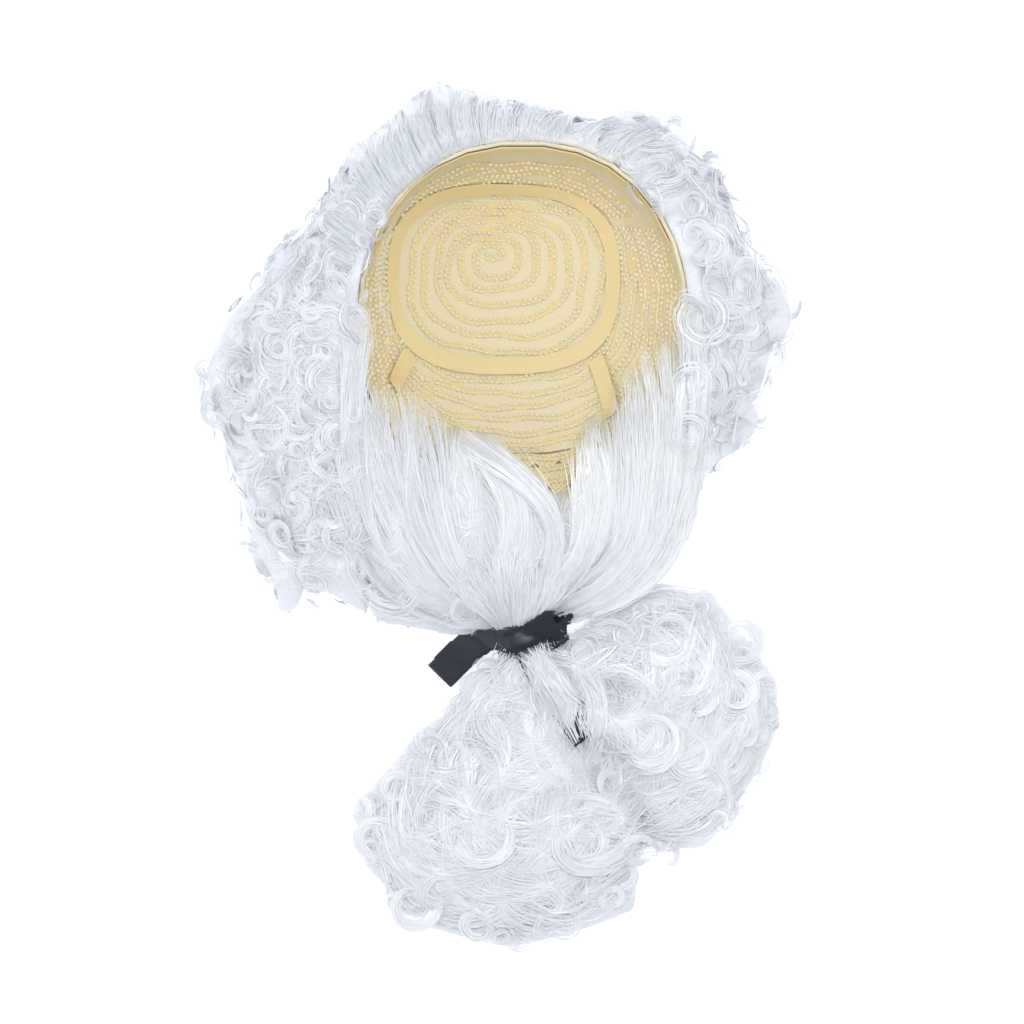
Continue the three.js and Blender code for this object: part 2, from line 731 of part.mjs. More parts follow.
/** One bunch of the tail, a flattened body that lies on the floor from the tie outwards. */
function tailBunch(rows) {
  const tie = tiePoint();
  const last = rows.length - 1;
  const value = (column, t) => columnAt(rows, column, t * last);
  return sweep({
    at: (t) =>
      new THREE.Vector3(
        tie.x + TAIL_LENGTH * value("x", t),
        tie.y + TAIL_LENGTH * value("y", t),
        0.4 * TAIL_HEIGHT * value("height", t),
      ),
    halfWidth: (t) => TAIL_LENGTH * value("halfWidth", t),
    halfHeight: (t) => 0.55 * TAIL_HEIGHT * value("height", t),
    steps: 7,
    sides: 9,
  });
}

/** Lock from the tie to one of the tail's curls. */
function tailStream({ x, y, reach, turn, hand }) {
  const tie = tiePoint();
  const start = tie.clone().setY(tie.y - PIECE_GAP);
  const end = new THREE.Vector3(
    tie.x + TAIL_LENGTH * (x + reach * Math.cos(radians(turn))),
    tie.y + TAIL_LENGTH * (y + reach * Math.sin(radians(turn))),
    0.72 * TAIL_HEIGHT,
  );
  const middle = start.clone().lerp(end, 0.5).setZ(0.75 * TAIL_HEIGHT);
  middle.x += hand * 0.09 * TAIL_LENGTH;
  const below = start.clone().setY(start.y - QUEUE_RADIUS).setZ(QUEUE_RADIUS);
  const path = new THREE.CatmullRomCurve3([start, below, middle, end]);
  const startHalf = 0.6 * QUEUE_RADIUS;
  return sweep({
    at: (t) => path.getPoint(t),
    halfWidth: (t) =>
      lerp(startHalf, 0.4 * TAIL_LENGTH * reach, t) + 0.5 * startHalf * Math.sin(Math.PI * t),
    halfHeight: (t) => lerp(startHalf, 0.35 * TAIL_LENGTH * reach, t),
    steps: 3,
    sides: 4,
  });
}

/** One curl on the tail. */
function tailCurl({ x, y, reach, turn, hand }) {
  const tie = tiePoint();
  return curl({
    centre: new THREE.Vector3(tie.x + x * TAIL_LENGTH, tie.y + y * TAIL_LENGTH, 0.62 * TAIL_HEIGHT),
    across: new THREE.Vector3(1, 0, 0),
    along: new THREE.Vector3(0, 1, 0),
    off: UP,
    reach: reach * TAIL_LENGTH,
    thickness: 0.28 * reach * TAIL_LENGTH,
    turn,
    hand,
  });
}

/** Strip of ribbon along one of its paths, grown by a margin. */
function ribbonStrip({ points, lean }, margin) {
  const top = tiePoint().addScaledVector(UP, QUEUE_RADIUS);
  const path = new THREE.CatmullRomCurve3(
    points.map(({ x, y, z }) => new THREE.Vector3(x, y, z).multiplyScalar(RIBBON_WIDTH).add(top)),
  );
  const halfWidth = RIBBON_WIDTH / 2 + margin;
  const halfThickness = RIBBON_THICKNESS / 2 + margin;
  const steps = 6;
  return loft(
    Array.from({ length: steps + 1 }, (_, step) => {
      const t = step / steps;
      const along = path.getTangent(t);
      const flat = UP.clone().cross(along).normalize();
      const wide = flat.applyAxisAngle(along, radians(lerp(...lean, t)));
      const thick = along.clone().cross(wide).normalize();
      const end = step === 0 ? -margin : step === steps ? margin : 0;
      const centre = path.getPoint(t).addScaledVector(along, end);
      return [
        [-1, -1],
        [1, -1],
        [1, 1],
        [-1, 1],
      ].map(([w, h]) =>
        centre.clone().addScaledVector(wide, w * halfWidth).addScaledVector(thick, h * halfThickness),
      );
    }),
  );
}

/** The ribbon: a band round the queue, its knot, a loop and three ends. Grown by a margin as a cutter. */
function makeRibbon(margin = 0) {
  const tie = tiePoint();
  const inner = QUEUE_RADIUS + PIECE_GAP - margin;
  const outer = QUEUE_RADIUS + PIECE_GAP + RIBBON_THICKNESS + margin;
  const halfBand = 0.36 * RIBBON_WIDTH + margin;
  const ring = (radius, y) =>
    Array.from({ length: 12 }, (_, i) => {
      const turn = (i / 12) * 2 * Math.PI;
      const around = new THREE.Vector3(radius * Math.cos(turn), y, radius * Math.sin(turn));
      return around.add(tie);
    });
  const band = loft(
    [ring(inner, -halfBand), ring(outer, -halfBand), ring(outer, halfBand), ring(inner, halfBand)],
    true,
  );
  const halfKnot = 0.45 * RIBBON_WIDTH + margin;
  const knot = sweep({
    at: (t) =>
      new THREE.Vector3(
        lerp(-halfKnot, halfKnot, t),
        RIBBON_WIDTH * lerp(-0.1, 0.15, t),
        QUEUE_RADIUS + 0.2 * RIBBON_WIDTH,
      ).add(tie),
    halfWidth: (t) => RIBBON_WIDTH * (0.32 + 0.1 * Math.sin(Math.PI * t)) + margin,
    halfHeight: (t) => RIBBON_WIDTH * (0.16 + 0.05 * Math.sin(Math.PI * t)) + margin,
    steps: 4,
    sides: 6,
  });
  return fuse([band, knot, ...Object.values(RIBBON_PATHS).map((path) => ribbonStrip(path, margin))]);
}

const ribbonWay = makeRibbon(2.4 * PIECE_GAP);
const core = openingCore();
const crown = crownPad(0);
const crownWay = crownPad(PIECE_GAP);
const { frontRight, frontLeft, napeLeft, napeRight } = PARTINGS;
const far = 6 * RIM_HALF_LENGTH;

/** Upright block over a plan rectangle. */
function block(fromX, fromY, toX, toY, low, high) {
  const corners = [
    [fromX, fromY],
    [toX, fromY],
    [toX, toY],
    [fromX, toY],
  ];
  return prism(corners.map(([x, y]) => new THREE.Vector2(x, y)), low, high);
}

const belowFloor = block(-far, -far, far, far, -far, 0);
const pastTie = block(-far, -far, far, -TIE_REACH, -1, far);
const beforeTie = block(-far, -TIE_REACH - PIECE_GAP, 0.3 * TAIL_LENGTH, far, -1, far);

const allHair = fuse([
  hairBacking(),
  ...sideCurls("right"),
  ...sideCurls("left"),
  ...Array.from({ length: NAPE_LOCKS }, (_, i) => napeLock(i)),
  queueTuft(),
])
  .subtract(core)
  .subtract(ribbonWay)
  .subtract(belowFloor)
  .subtract(pastTie);

const outerHair = allHair
  .subtract(crownWay)
  .subtract(partingWalls(Object.values(PARTINGS).map(partingLine), PIECE_GAP));

/** Part of the outer hair inside a plan outline. */
function hairWithin(outline) {
  return largest(outerHair.intersect(prism(outline, -1, 3 * RIM_HEIGHT)));
}

const corner = (x, y) => new THREE.Vector2(x * far, y * far);
const frontHair = hairWithin(between(frontRight, frontLeft, [corner(1, 1), corner(-1, 1)]));
const leftCurls = hairWithin(between(frontLeft, napeLeft, [corner(-1, 0.5), corner(-1, -1)]));
const napeHair = hairWithin(between(napeLeft, napeRight, [corner(-0.2, -1), corner(0.2, -1)]));
const rightCurls = hairWithin(between(napeRight, frontRight, [corner(1, -1), corner(1, 0.5)]));
const crownHair = largest(allHair.intersect(crown));

const tailLine = TAIL_PARTING.map(
  ({ x, y }) => new THREE.Vector2(x * TAIL_LENGTH, y * TAIL_LENGTH - TIE_REACH),
);
const tail = fuse([
  ...Object.values(TAIL_BUNCHES).map(tailBunch),
  ...TAIL_CURLS.map(tailStream),
  ...TAIL_CURLS.map(tailCurl),
])
  .subtract(ribbonWay)
  .subtract(belowFloor)
  .subtract(hairBacking(2 * CURL_THICKNESS))
  .subtract(beforeTie)
  .subtract(partingWalls([tailLine], PIECE_GAP));
const leftOfTail = [...tailLine, corner(-1, -1), corner(-1, 1)];
const rightOfTail = [...tailLine, corner(1, -1), corner(1, 1)];

/** Names and finishes a solid as one piece of the wig. */
function piece(name, solid, { color, roughness }) {
  const { vertProperties, triVerts } = solid.getMesh();
  const geometry = new THREE.BufferGeometry()
    .setAttribute("position", new THREE.BufferAttribute(vertProperties, 3))
    .setIndex(new THREE.BufferAttribute(triVerts, 1));
  geometry.computeVertexNormals();
  const mesh = new THREE.Mesh(
    geometry,
    new THREE.MeshStandardMaterial({ color, roughness, metalness: 0 }),
  );
  mesh.name = name;
  return mesh;
}

const HAIR_LOOK = { color: 0xe6e9f0, roughness: 0.45 };
const NET_LOOK = { color: 0xe2c887, roughness: 0.8 };
const TAPE_LOOK = { color: 0xdcb867, roughness: 0.75 };
const WEFT_LOOK = { color: 0xecd58c, roughness: 0.7 };
const LACE_LOOK = { color: 0xd9c68d, roughness: 0.8 };
const SATIN_LOOK = { color: 0x14171f, roughness: 0.35 };

const tapeEnd = SEWN_ROWS.crownTape + 0.35;
const wig = new THREE.Group();
wig.name = "powdered_wig";
wig.add(
  piece("cap_net", makeCapNet(), NET_LOOK),
  piece("nape_lace", makeNapeLace(), LACE_LOOK),
  piece("front_cord", makeFrontCord(), TAPE_LOOK),
  piece("crown_tape", makeCrownTape(), TAPE_LOOK),
  piece("front_tape", makeFrontTape(), TAPE_LOOK),
  piece(
    "left_tape",
    makeSideTape({ angle: 222, section: tapeEnd }, { angle: 214, section: 4.7 }),
    TAPE_LOOK,
  ),
  piece(
    "right_tape",
    makeSideTape({ angle: 314, section: tapeEnd }, { angle: 308, section: 4.7 }),
    TAPE_LOOK,
  ),
  piece("crown_wefts", makeCrownWefts(), WEFT_LOOK),
);
for (let number = 1; number <= WALL_WEFTS; number++) {
  wig.add(piece(`wall_weft_${number}`, makeWallWeft(number), WEFT_LOOK));
}
wig.add(
  piece("crown_hair", crownHair, HAIR_LOOK),
  piece("front_hair", frontHair, HAIR_LOOK),
  piece("left_curls", leftCurls, HAIR_LOOK),
  piece("right_curls", rightCurls, HAIR_LOOK),
  piece("nape_hair", napeHair, HAIR_LOOK),
  piece("tail_left", largest(tail.intersect(prism(leftOfTail, -1, far))), HAIR_LOOK),
  piece("tail_right", largest(tail.intersect(prism(rightOfTail, -1, far))), HAIR_LOOK),
  piece("ribbon_bow", makeRibbon(), SATIN_LOOK),
);

const bounds = new THREE.Box3().setFromObject(wig);
const middle = bounds.getCenter(new THREE.Vector3());
wig.position.set(-middle.x, -middle.y, -bounds.min.z);

export default wig;
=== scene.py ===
"""Powdered wig lying on its crown, its head opening up and its tied queue laid out below."""

import json
import logging
import math
from dataclasses import dataclass, field
from enum import Enum

import bmesh
import bpy
import numpy as np
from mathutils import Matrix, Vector
from mathutils.bvhtree import BVHTree


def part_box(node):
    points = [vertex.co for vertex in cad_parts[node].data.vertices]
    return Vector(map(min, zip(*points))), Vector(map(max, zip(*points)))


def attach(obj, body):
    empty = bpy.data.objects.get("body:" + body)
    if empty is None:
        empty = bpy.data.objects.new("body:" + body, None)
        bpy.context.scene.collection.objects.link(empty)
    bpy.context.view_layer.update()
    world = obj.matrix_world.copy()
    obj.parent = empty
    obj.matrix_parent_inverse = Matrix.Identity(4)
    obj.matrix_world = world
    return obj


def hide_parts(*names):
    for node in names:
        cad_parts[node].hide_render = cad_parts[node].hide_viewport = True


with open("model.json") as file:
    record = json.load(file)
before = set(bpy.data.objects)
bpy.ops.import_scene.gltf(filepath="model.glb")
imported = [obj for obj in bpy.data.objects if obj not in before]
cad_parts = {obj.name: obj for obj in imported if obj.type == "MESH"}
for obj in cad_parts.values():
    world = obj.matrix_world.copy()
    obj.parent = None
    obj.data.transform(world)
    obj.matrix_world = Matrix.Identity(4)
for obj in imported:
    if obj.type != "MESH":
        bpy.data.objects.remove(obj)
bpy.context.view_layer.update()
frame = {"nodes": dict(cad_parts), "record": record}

log = logging.getLogger("powdered_wig")

HAIR_VOXEL = 0.0028
CROWN_VOXEL = 0.004
BOW_VOXEL = 0.0012
HAIR_SMOOTHING = 7
TAIL_SMOOTHING = 40
BOW_SMOOTHING = 3
TIE_REACH = 0.171
TRIANGLES_A_PIECE = 190_000
COAT = ("front_hair", "left_curls", "right_curls", "nape_hair")
TAILS = ("tail_left", "tail_right")
WALL_WEFTS = tuple(f"wall_weft_{n}" for n in range(1, 5))
RIM = (0.087, 0.095)
RIM_POWER = 2.2
CAP_WALL = 0.0015

Points = np.ndarray
Socket = bpy.types.NodeSocket


class Side(Enum):
    """Side of the wig, by the angles round the head opening that its curls cover."""

    RIGHT = (-34.0, 54.0)
    LEFT = (140.0, 238.0)


class Pattern(Enum):
    """How fibres lie on a body of hair."""

    CURLED = "curled"
    COMBED = "combed"


def unit(vectors: Points) -> Points:
    """Scales vectors along the last axis to length one."""
    return vectors / np.maximum(np.linalg.norm(vectors, axis=-1, keepdims=True), 1e-9)


def rounded(angle: Points, half: tuple[float, float], power: float = RIM_POWER) -> Points:
    """Places points on a rounded rectangle round the origin.

    Args:
        angle: Angles round it, in radians.
        half: Half width and half length.
        power: Corner power, 2 for an ellipse.

    Returns:
        Plan points, one row for each angle.
    """
    c, s = np.cos(angle), np.sin(angle)
    across = half[0] * np.sign(c) * np.abs(c) ** (2 / power)
    return np.stack([across, half[1] * np.sign(s) * np.abs(s) ** (2 / power)], axis=-1)


def evened(line: Points, times: int) -> Points:
    """Evens out a line of points but keeps its ends."""
    out = np.array(line, float)
    for _ in range(times):
        out[1:-1] = 0.25 * (out[:-2] + 2 * out[1:-1] + out[2:])
    return out


def spaced(line: Points, count: int) -> Points:
    """Places a number of points at even distances along a line."""
    steps = np.linalg.norm(np.diff(line, axis=0), axis=1)
    run = np.concatenate([[0], np.cumsum(steps)])
    at = np.linspace(0, run[-1], count)
    return np.stack([np.interp(at, run, line[:, k]) for k in range(line.shape[1])], axis=1)


def surface_of(objects: list[bpy.types.Object]) -> BVHTree:
    """Builds one searchable surface from several objects."""
    verts: list[Vector] = []
    faces: list[list[int]] = []
    for thing in objects:
        start = len(verts)
        verts.extend(v.co.copy() for v in thing.data.vertices)
        faces.extend([start + i for i in p.vertices] for p in thing.data.polygons)
    return BVHTree.FromPolygons(verts, faces)


def vertex_table(thing: bpy.types.Object) -> Points:
    """Reads an object's vertices into a table."""
    table = np.zeros(3 * len(thing.data.vertices))
    thing.data.vertices.foreach_get("co", table)
    return table.reshape(-1, 3)


def show(name: str, data: bpy.types.ID, material: bpy.types.Material) -> bpy.types.Object:
    """Shows a finished mesh or curve as a piece of the wig.

    Args:
        name: Name of the new object.
        data: Its finished mesh or curve, in the frame's own place.
        material: Finish of the piece.

    Returns:
        The new object, riding on the wig.
    """
    data.materials.clear()
    data.materials.append(material)
    if isinstance(data, bpy.types.Mesh):
        data.polygons.foreach_set("use_smooth", [True] * len(data.polygons))
    piece = bpy.data.objects.new(name, data)
    bpy.context.scene.collection.objects.link(piece)
    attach(piece, "root")
    return piece


class Nodes:
    """Short way to place and join the nodes of one material or group."""

    def __init__(self, tree: bpy.types.NodeTree) -> None:
        """Starts from an empty tree."""
        self.tree = tree
        tree.nodes.clear()

    def add(self, kind: str, **settings: object) -> bpy.types.Node:
        """Adds one node and applies its settings.

        Args:
            kind: Node type without the ShaderNode prefix.
            **settings: Properties of the node, or values of its inputs under the input's name.

        Returns:
            The new node.
        """
        node = self.tree.nodes.new(kind if kind.startswith("Node") else "ShaderNode" + kind)
        for key, value in settings.items():
            if hasattr(node, key):
                setattr(node, key, value)
            else:
                node.inputs[key.replace("_", " ")].default_value = value
        return node

    def link(self, source: Socket, target: Socket) -> None:
        """Joins an output to an input."""
        self.tree.links.new(source, target)

    def sum(self, operation: str, *terms: Socket | float) -> Socket:
        """Adds a calculation on numbers or sockets and gives back its result."""
        node = self.add("Math", operation=operation)
        for slot, term in zip(node.inputs, terms):
            if isinstance(term, (int, float)):
                slot.default_value = term
            else:
                self.link(term, slot)
        return node.outputs[0]

    def blend(self, mask: Socket, low: object, high: object) -> Socket:
        """Mixes two colours, each of them a triple or a socket, by a mask."""
        mix = self.add("Mix", data_type="RGBA")
        self.link(mask, mix.inputs[0])
        for slot, colour in ((mix.inputs[6], low), (mix.inputs[7], high)):
            if isinstance(colour, tuple):
                slot.default_value = (*colour, 1.0)
            else:
                self.link(colour, slot)
        return mix.outputs[2]

    def ramp(self, value: Socket, low: float, high: float) -> Socket:
        """Stretches a value between two bounds to 0 and 1."""
        node = self.add("MapRange", From_Min=low, From_Max=high)
        self.link(value, node.inputs["Value"])
        return node.outputs[0]

    def split(self, vector: Socket) -> list[Socket]:
        """Parts a vector into its three numbers."""
        node = self.add("SeparateXYZ")
        self.link(vector, node.inputs[0])
        return list(node.outputs)

    def join(self, *parts: Socket) -> Socket:
        """Joins up to three numbers into a vector."""
        node = self.add("CombineXYZ")
        for slot, part in zip(node.inputs, parts):
            self.link(part, slot)
        return node.outputs[0]

    def noise(self, vector: Socket, scale: float, detail: float) -> bpy.types.Node:
        """Adds a noise over a vector."""
        node = self.add("TexNoise", Scale=scale, Detail=detail, Roughness=0.6)
        self.link(vector, node.inputs["Vector"])
        return node

    def skin(self, colour: Socket, roughness: float, specular: float) -> bpy.types.Node:
        """Ends the material in a shader with a colour, and gives back the shader."""
        node = self.add("BsdfPrincipled", Roughness=roughness)
        node.inputs["Specular IOR Level"].default_value = specular
        self.link(colour, node.inputs["Base Color"])
        leave = self.add("OutputMaterial")
        self.link(node.outputs[0], leave.inputs["Surface"])
        return node

    def emboss(self, skin: bpy.types.Node, height: Socket, strength: float, depth: float) -> None:
        """Raises a height on a shader."""
        bump = self.add("Bump", Strength=strength, Distance=depth)
        self.link(height, bump.inputs["Height"])
        self.link(bump.outputs[0], skin.inputs["Normal"])


def material_nodes(name: str) -> tuple[bpy.types.Material, Nodes]:
    """Starts a material with an empty tree."""
    material = bpy.data.materials.new(name)
    material.use_nodes = True
    return material, Nodes(material.node_tree)


def effect_group(name: str, inputs: dict[str, float], outputs: tuple[str, ...]) -> tuple[Nodes, dict, dict]:
    """Starts a shader group with number inputs and number outputs.

    Args:
        name: Name of the group.
        inputs: Input names with their usual values. Vector is added by itself.
        outputs: Output names.

    Returns:
        The nodes, then the group's inputs and outputs by name.
    """
    tree = bpy.data.node_groups.new(name, "ShaderNodeTree")
    nodes = Nodes(tree)
    tree.interface.new_socket("Vector", in_out="INPUT", socket_type="NodeSocketVector")
    for label, value in inputs.items():
        socket = tree.interface.new_socket(label, in_out="INPUT", socket_type="NodeSocketFloat")
        socket.default_value = value
    for label in outputs:
        tree.interface.new_socket(label, in_out="OUTPUT", socket_type="NodeSocketFloat")
    entry = nodes.add("NodeGroupInput")
    leave = nodes.add("NodeGroupOutput")
    return nodes, entry.outputs, leave.inputs


def strand_grain() -> bpy.types.NodeTree:
    """Makes fine streaks along the first axis, as a tint and a height."""
    nodes, given, out = effect_group("strand_grain", {"Across": 60.0, "Along": 4.0}, ("Tint", "Height"))
    parts = nodes.split(given["Vector"])
    scales = (given["Along"], given["Across"], given["Along"])
    scaled = [nodes.sum("MULTIPLY", part, scale) for part, scale in zip(parts, scales)]
    noise = nodes.noise(nodes.join(*scaled), 1.0, 2.0)
    nodes.link(noise.outputs["Fac"], out["Tint"])
    nodes.link(noise.outputs["Fac"], out["Height"])
    return nodes.tree


def ring_curls() -> bpy.types.NodeTree:
    """Makes swirls of fine fibres round scattered middles, as a tint and a height."""
    nodes, given, out = effect_group("ring_curls", {"Cells": 42.0, "Fibres": 34.0}, ("Tint", "Height"))
    bend = nodes.noise(given["Vector"], 30.0, 1.0)
    moved = nodes.add("VectorMath", operation="MULTIPLY_ADD")
    nodes.link(bend.outputs["Color"], moved.inputs[0])
    moved.inputs[1].default_value = (0.016, 0.016, 0.016)
    nodes.link(given["Vector"], moved.inputs[2])
    cells = nodes.add("TexVoronoi", feature="F1")
    nodes.link(moved.outputs[0], cells.inputs["Vector"])
    nodes.link(given["Cells"], cells.inputs["Scale"])
    far = cells.outputs["Distance"]
    x, y, _ = nodes.split(given["Vector"])
    place = nodes.join(
        nodes.sum("MULTIPLY", far, given["Fibres"]),
        nodes.sum("MULTIPLY", x, 70.0),
        nodes.sum("MULTIPLY", y, 70.0),
    )
    noise = nodes.noise(place, 1.0, 2.0)
    nodes.link(noise.outputs["Fac"], out["Tint"])
    waves = nodes.sum("SINE", nodes.sum("MULTIPLY", far, 11.0))
    nodes.link(nodes.sum("MULTIPLY_ADD", waves, 0.8, noise.outputs["Fac"]), out["Height"])
    return nodes.tree


def thread_mesh() -> bpy.types.NodeTree:
    """Makes crossing threads of a knitted net, as a mask and a height."""
    nodes, given, out = effect_group("thread_mesh", {"Pitch": 600.0, "Unevenness": 0.4}, ("Thread", "Height"))
    waves = []
    for turn in (0.9, -0.75):
        mapping = nodes.add("Mapping", Rotation=(0.0, 0.0, turn))
        nodes.link(given["Vector"], mapping.inputs["Vector"])
        wave = nodes.add("TexWave", wave_type="BANDS", bands_direction="X", Distortion=1.4, Detail=1.0)
        wave.inputs["Detail Scale"].default_value = 0.6
        nodes.link(mapping.outputs[0], wave.inputs["Vector"])
        nodes.link(given["Pitch"], wave.inputs["Scale"])
        waves.append(wave.outputs["Fac"])
    most = nodes.sum("MAXIMUM", *waves)
    patches = nodes.noise(given["Vector"], 90.0, 3.0)
    uneven = nodes.sum("MULTIPLY_ADD", patches.outputs["Fac"], given["Unevenness"], most)
    nodes.link(nodes.ramp(uneven, 0.75, 1.15), out["Thread"])
    nodes.link(most, out["Height"])
    return nodes.tree


@dataclass(frozen=True)
class FibreFinish:
    """Glossy white fibre: cool in its shade, and at its root a painted shade, warm where the net shows
    through.
    """

    shade: tuple[float, float, float] = (0.80, 0.825, 0.875)
    light: tuple[float, float, float] = (0.92, 0.93, 0.95)
    # root: painted shade on the hair by the cord, warm where the net shows through
    root: tuple[float, float, float] = (0.76, 0.735, 0.68)
    roughness: float = 0.3
    specular: float = 0.7
    # painted light: a faint glow in the hair's own colour stands in for light scattered through the white
    # fibres
    painted_glow: float = 0.03

    def material(self) -> bpy.types.Material:
        """Makes the finish for strands, which carry their own tint and their painted root shade, with a faint
        painted glow.
        """
        material, nodes = material_nodes("hair_fibre")
        tint = nodes.add("Attribute", attribute_name="tint")
        root_shade = nodes.add("Attribute", attribute_name="root_shade")
        plain = nodes.blend(tint.outputs["Fac"], self.shade, self.light)
        colour = nodes.blend(root_shade.outputs["Fac"], plain, self.root)
        skin = nodes.skin(colour, self.roughness, self.specular)
        # painted light: the fibres glow faintly in their own colour
        skin.inputs["Emission Strength"].default_value = self.painted_glow
        nodes.link(colour, skin.inputs["Emission Color"])
        return material


@dataclass(frozen=True)
class BodyFinish:
    """Hair seen as a mass, with its fibres as streaks or swirls."""

    pattern: Pattern
    shade: tuple[float, float, float] = (0.77, 0.795, 0.855)
    light: tuple[float, float, float] = (0.88, 0.895, 0.93)
    # root: painted shade on the hair by the cord, warm where the net shows through
    root: tuple[float, float, float] = (0.78, 0.755, 0.7)
    roughness: float = 0.38
    specular: float = 0.55
    cells: float = 46.0
    # painted light: a faint glow in the hair's own colour stands in for light scattered through the white
    # fibres
    painted_glow: float = 0.02

    def material(self, group: bpy.types.NodeTree, centre: Points) -> bpy.types.Material:
        """Makes the finish.

        Args:
            group: The streaks for combed hair or the swirls for curled hair.
            centre: Plan point that combed hair runs away from.

        Returns:
            The material.
        """
        material, nodes = material_nodes(f"hair_{self.pattern.value}")
        place = nodes.add("TexCoord").outputs["Object"]
        effect = nodes.add("Group", node_tree=group)
        if self.pattern is Pattern.CURLED:
            effect.inputs["Cells"].default_value = self.cells
        else:
            effect.inputs["Across"].default_value = 110.0
            effect.inputs["Along"].default_value = 60.0
            x, y, z = nodes.split(place)
            x = nodes.sum("SUBTRACT", x, float(centre[0]))
            y = nodes.sum("SUBTRACT", y, float(centre[1]))
            far = nodes.sum("SQRT", nodes.sum("MULTIPLY_ADD", x, x, nodes.sum("MULTIPLY", y, y)))
            place = nodes.join(far, nodes.sum("ARCTAN2", y, x), z)
        nodes.link(place, effect.inputs["Vector"])
        colour = nodes.blend(nodes.ramp(effect.outputs["Tint"], 0.3, 0.7), self.shade, self.light)
        # combed hair near the rim takes the root colour: painted shade by the cord
        if self.pattern is Pattern.COMBED:
            powers = [nodes.sum("POWER", nodes.sum("ABSOLUTE", nodes.sum("DIVIDE", part, half)), RIM_POWER)
                      for part, half in zip((x, y), RIM)]
            colour = nodes.blend(nodes.ramp(nodes.sum("ADD", *powers), 1.35, 1.05), colour, self.root)
        skin = nodes.skin(colour, self.roughness, self.specular)
        # painted light: the body glows faintly in its own colour
        skin.inputs["Emission Strength"].default_value = self.painted_glow
        nodes.link(colour, skin.inputs["Emission Color"])
        nodes.emboss(skin, effect.outputs["Height"], 0.3, 0.001)
        return material


@dataclass(frozen=True)
class KnitFinish:
    """Knitted or woven yellow goods: net, tape, lace, cord and stitches."""

    name: str
    thread: tuple[float, float, float]
    hole: tuple[float, float, float]
    pitch: float = 600.0
    unevenness: float = 0.4

    def material(self, mesh_group: bpy.types.NodeTree) -> bpy.types.Material:
        """Makes the finish from the group of crossing threads."""
        material, nodes = material_nodes(self.name)
        threads = nodes.add("Group", node_tree=mesh_group)
        threads.inputs["Pitch"].default_value = self.pitch
        threads.inputs["Unevenness"].default_value = self.unevenness
        nodes.link(nodes.add("TexCoord").outputs["Object"], threads.inputs["Vector"])
        colour = nodes.blend(threads.outputs["Thread"], self.hole, self.thread)
        skin = nodes.skin(colour, 0.7, 0.4)
        nodes.emboss(skin, threads.outputs["Height"], 0.4, 0.0005)
        return material


@dataclass(frozen=True)
class SatinFinish:
    """Black satin ribbon, with a fine rib along it and a soft sheen."""

    base: tuple[float, float, float] = (0.004, 0.005, 0.01)
    sheen: tuple[float, float, float] = (0.016, 0.019, 0.034)

    def material(self, grain: bpy.types.NodeTree) -> bpy.types.Material:
        """Makes the finish from the streak group."""
        material, nodes = material_nodes("black_satin")
        ribs = nodes.add("Group", node_tree=grain)
        ribs.inputs["Across"].default_value = 900.0
        ribs.inputs["Along"].default_value = 60.0
        nodes.link(nodes.add("TexCoord").outputs["Object"], ribs.inputs["Vector"])
        colour = nodes.blend(ribs.outputs["Tint"], self.base, self.sheen)
        skin = nodes.skin(colour, 0.34, 0.5)
        nodes.emboss(skin, ribs.outputs["Height"], 0.12, 0.0003)
        return material


@dataclass
class SoftBody:
    """A solid of the model made even and soft, in the same form and place."""

    node: str
    slot: str = "hair"
    voxel: float = 0.0028
    smoothing: int = 7
    opening: Points | None = None
    lip: float = 1.02
    lip_from: float = 0.07

    def build(self, material: bpy.types.Material) -> bpy.types.Object:
        """Meshes the solid evenly, relaxes it and puts it in the solid's place.

        Args:
            material: Finish of the body.

        Returns:
            The new piece.
        """
        draft = bpy.data.objects.new("draft", frame["nodes"][self.node].data.copy())
        bpy.context.scene.collection.objects.link(draft)
        even = draft.modifiers.new("even", "REMESH")
        even.mode = "VOXEL"
        even.voxel_size = self.voxel
        soft = draft.modifiers.new("soft", "SMOOTH")
        soft.iterations = self.smoothing
        depsgraph = bpy.context.evaluated_depsgraph_get()
        mesh = bpy.data.meshes.new_from_object(draft.evaluated_get(depsgraph))
        bpy.data.objects.remove(draft)
        if self.opening is not None:
            self._clear(mesh)
        piece = show(f"{self.node}_soft", mesh, material)
        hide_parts(self.node)
        log.info("softened %s, %d faces", self.node, len(mesh.polygons))
        return piece

    def _clear(self, mesh: bpy.types.Mesh) -> None:
        """Moves the lip's vertices out to the edge cord, wherever evening took them past it."""
        for vertex in mesh.vertices:
            x, y = (vertex.co.x - self.opening[0]) / RIM[0], (vertex.co.y - self.opening[1]) / RIM[1]
            size = (abs(x) ** RIM_POWER + abs(y) ** RIM_POWER) ** (1 / RIM_POWER)
            if vertex.co.z > self.lip_from and 0.5 < size < self.lip:
                vertex.co.x = self.opening[0] + x * RIM[0] * self.lip / size
                vertex.co.y = self.opening[1] + y * RIM[1] * self.lip / size


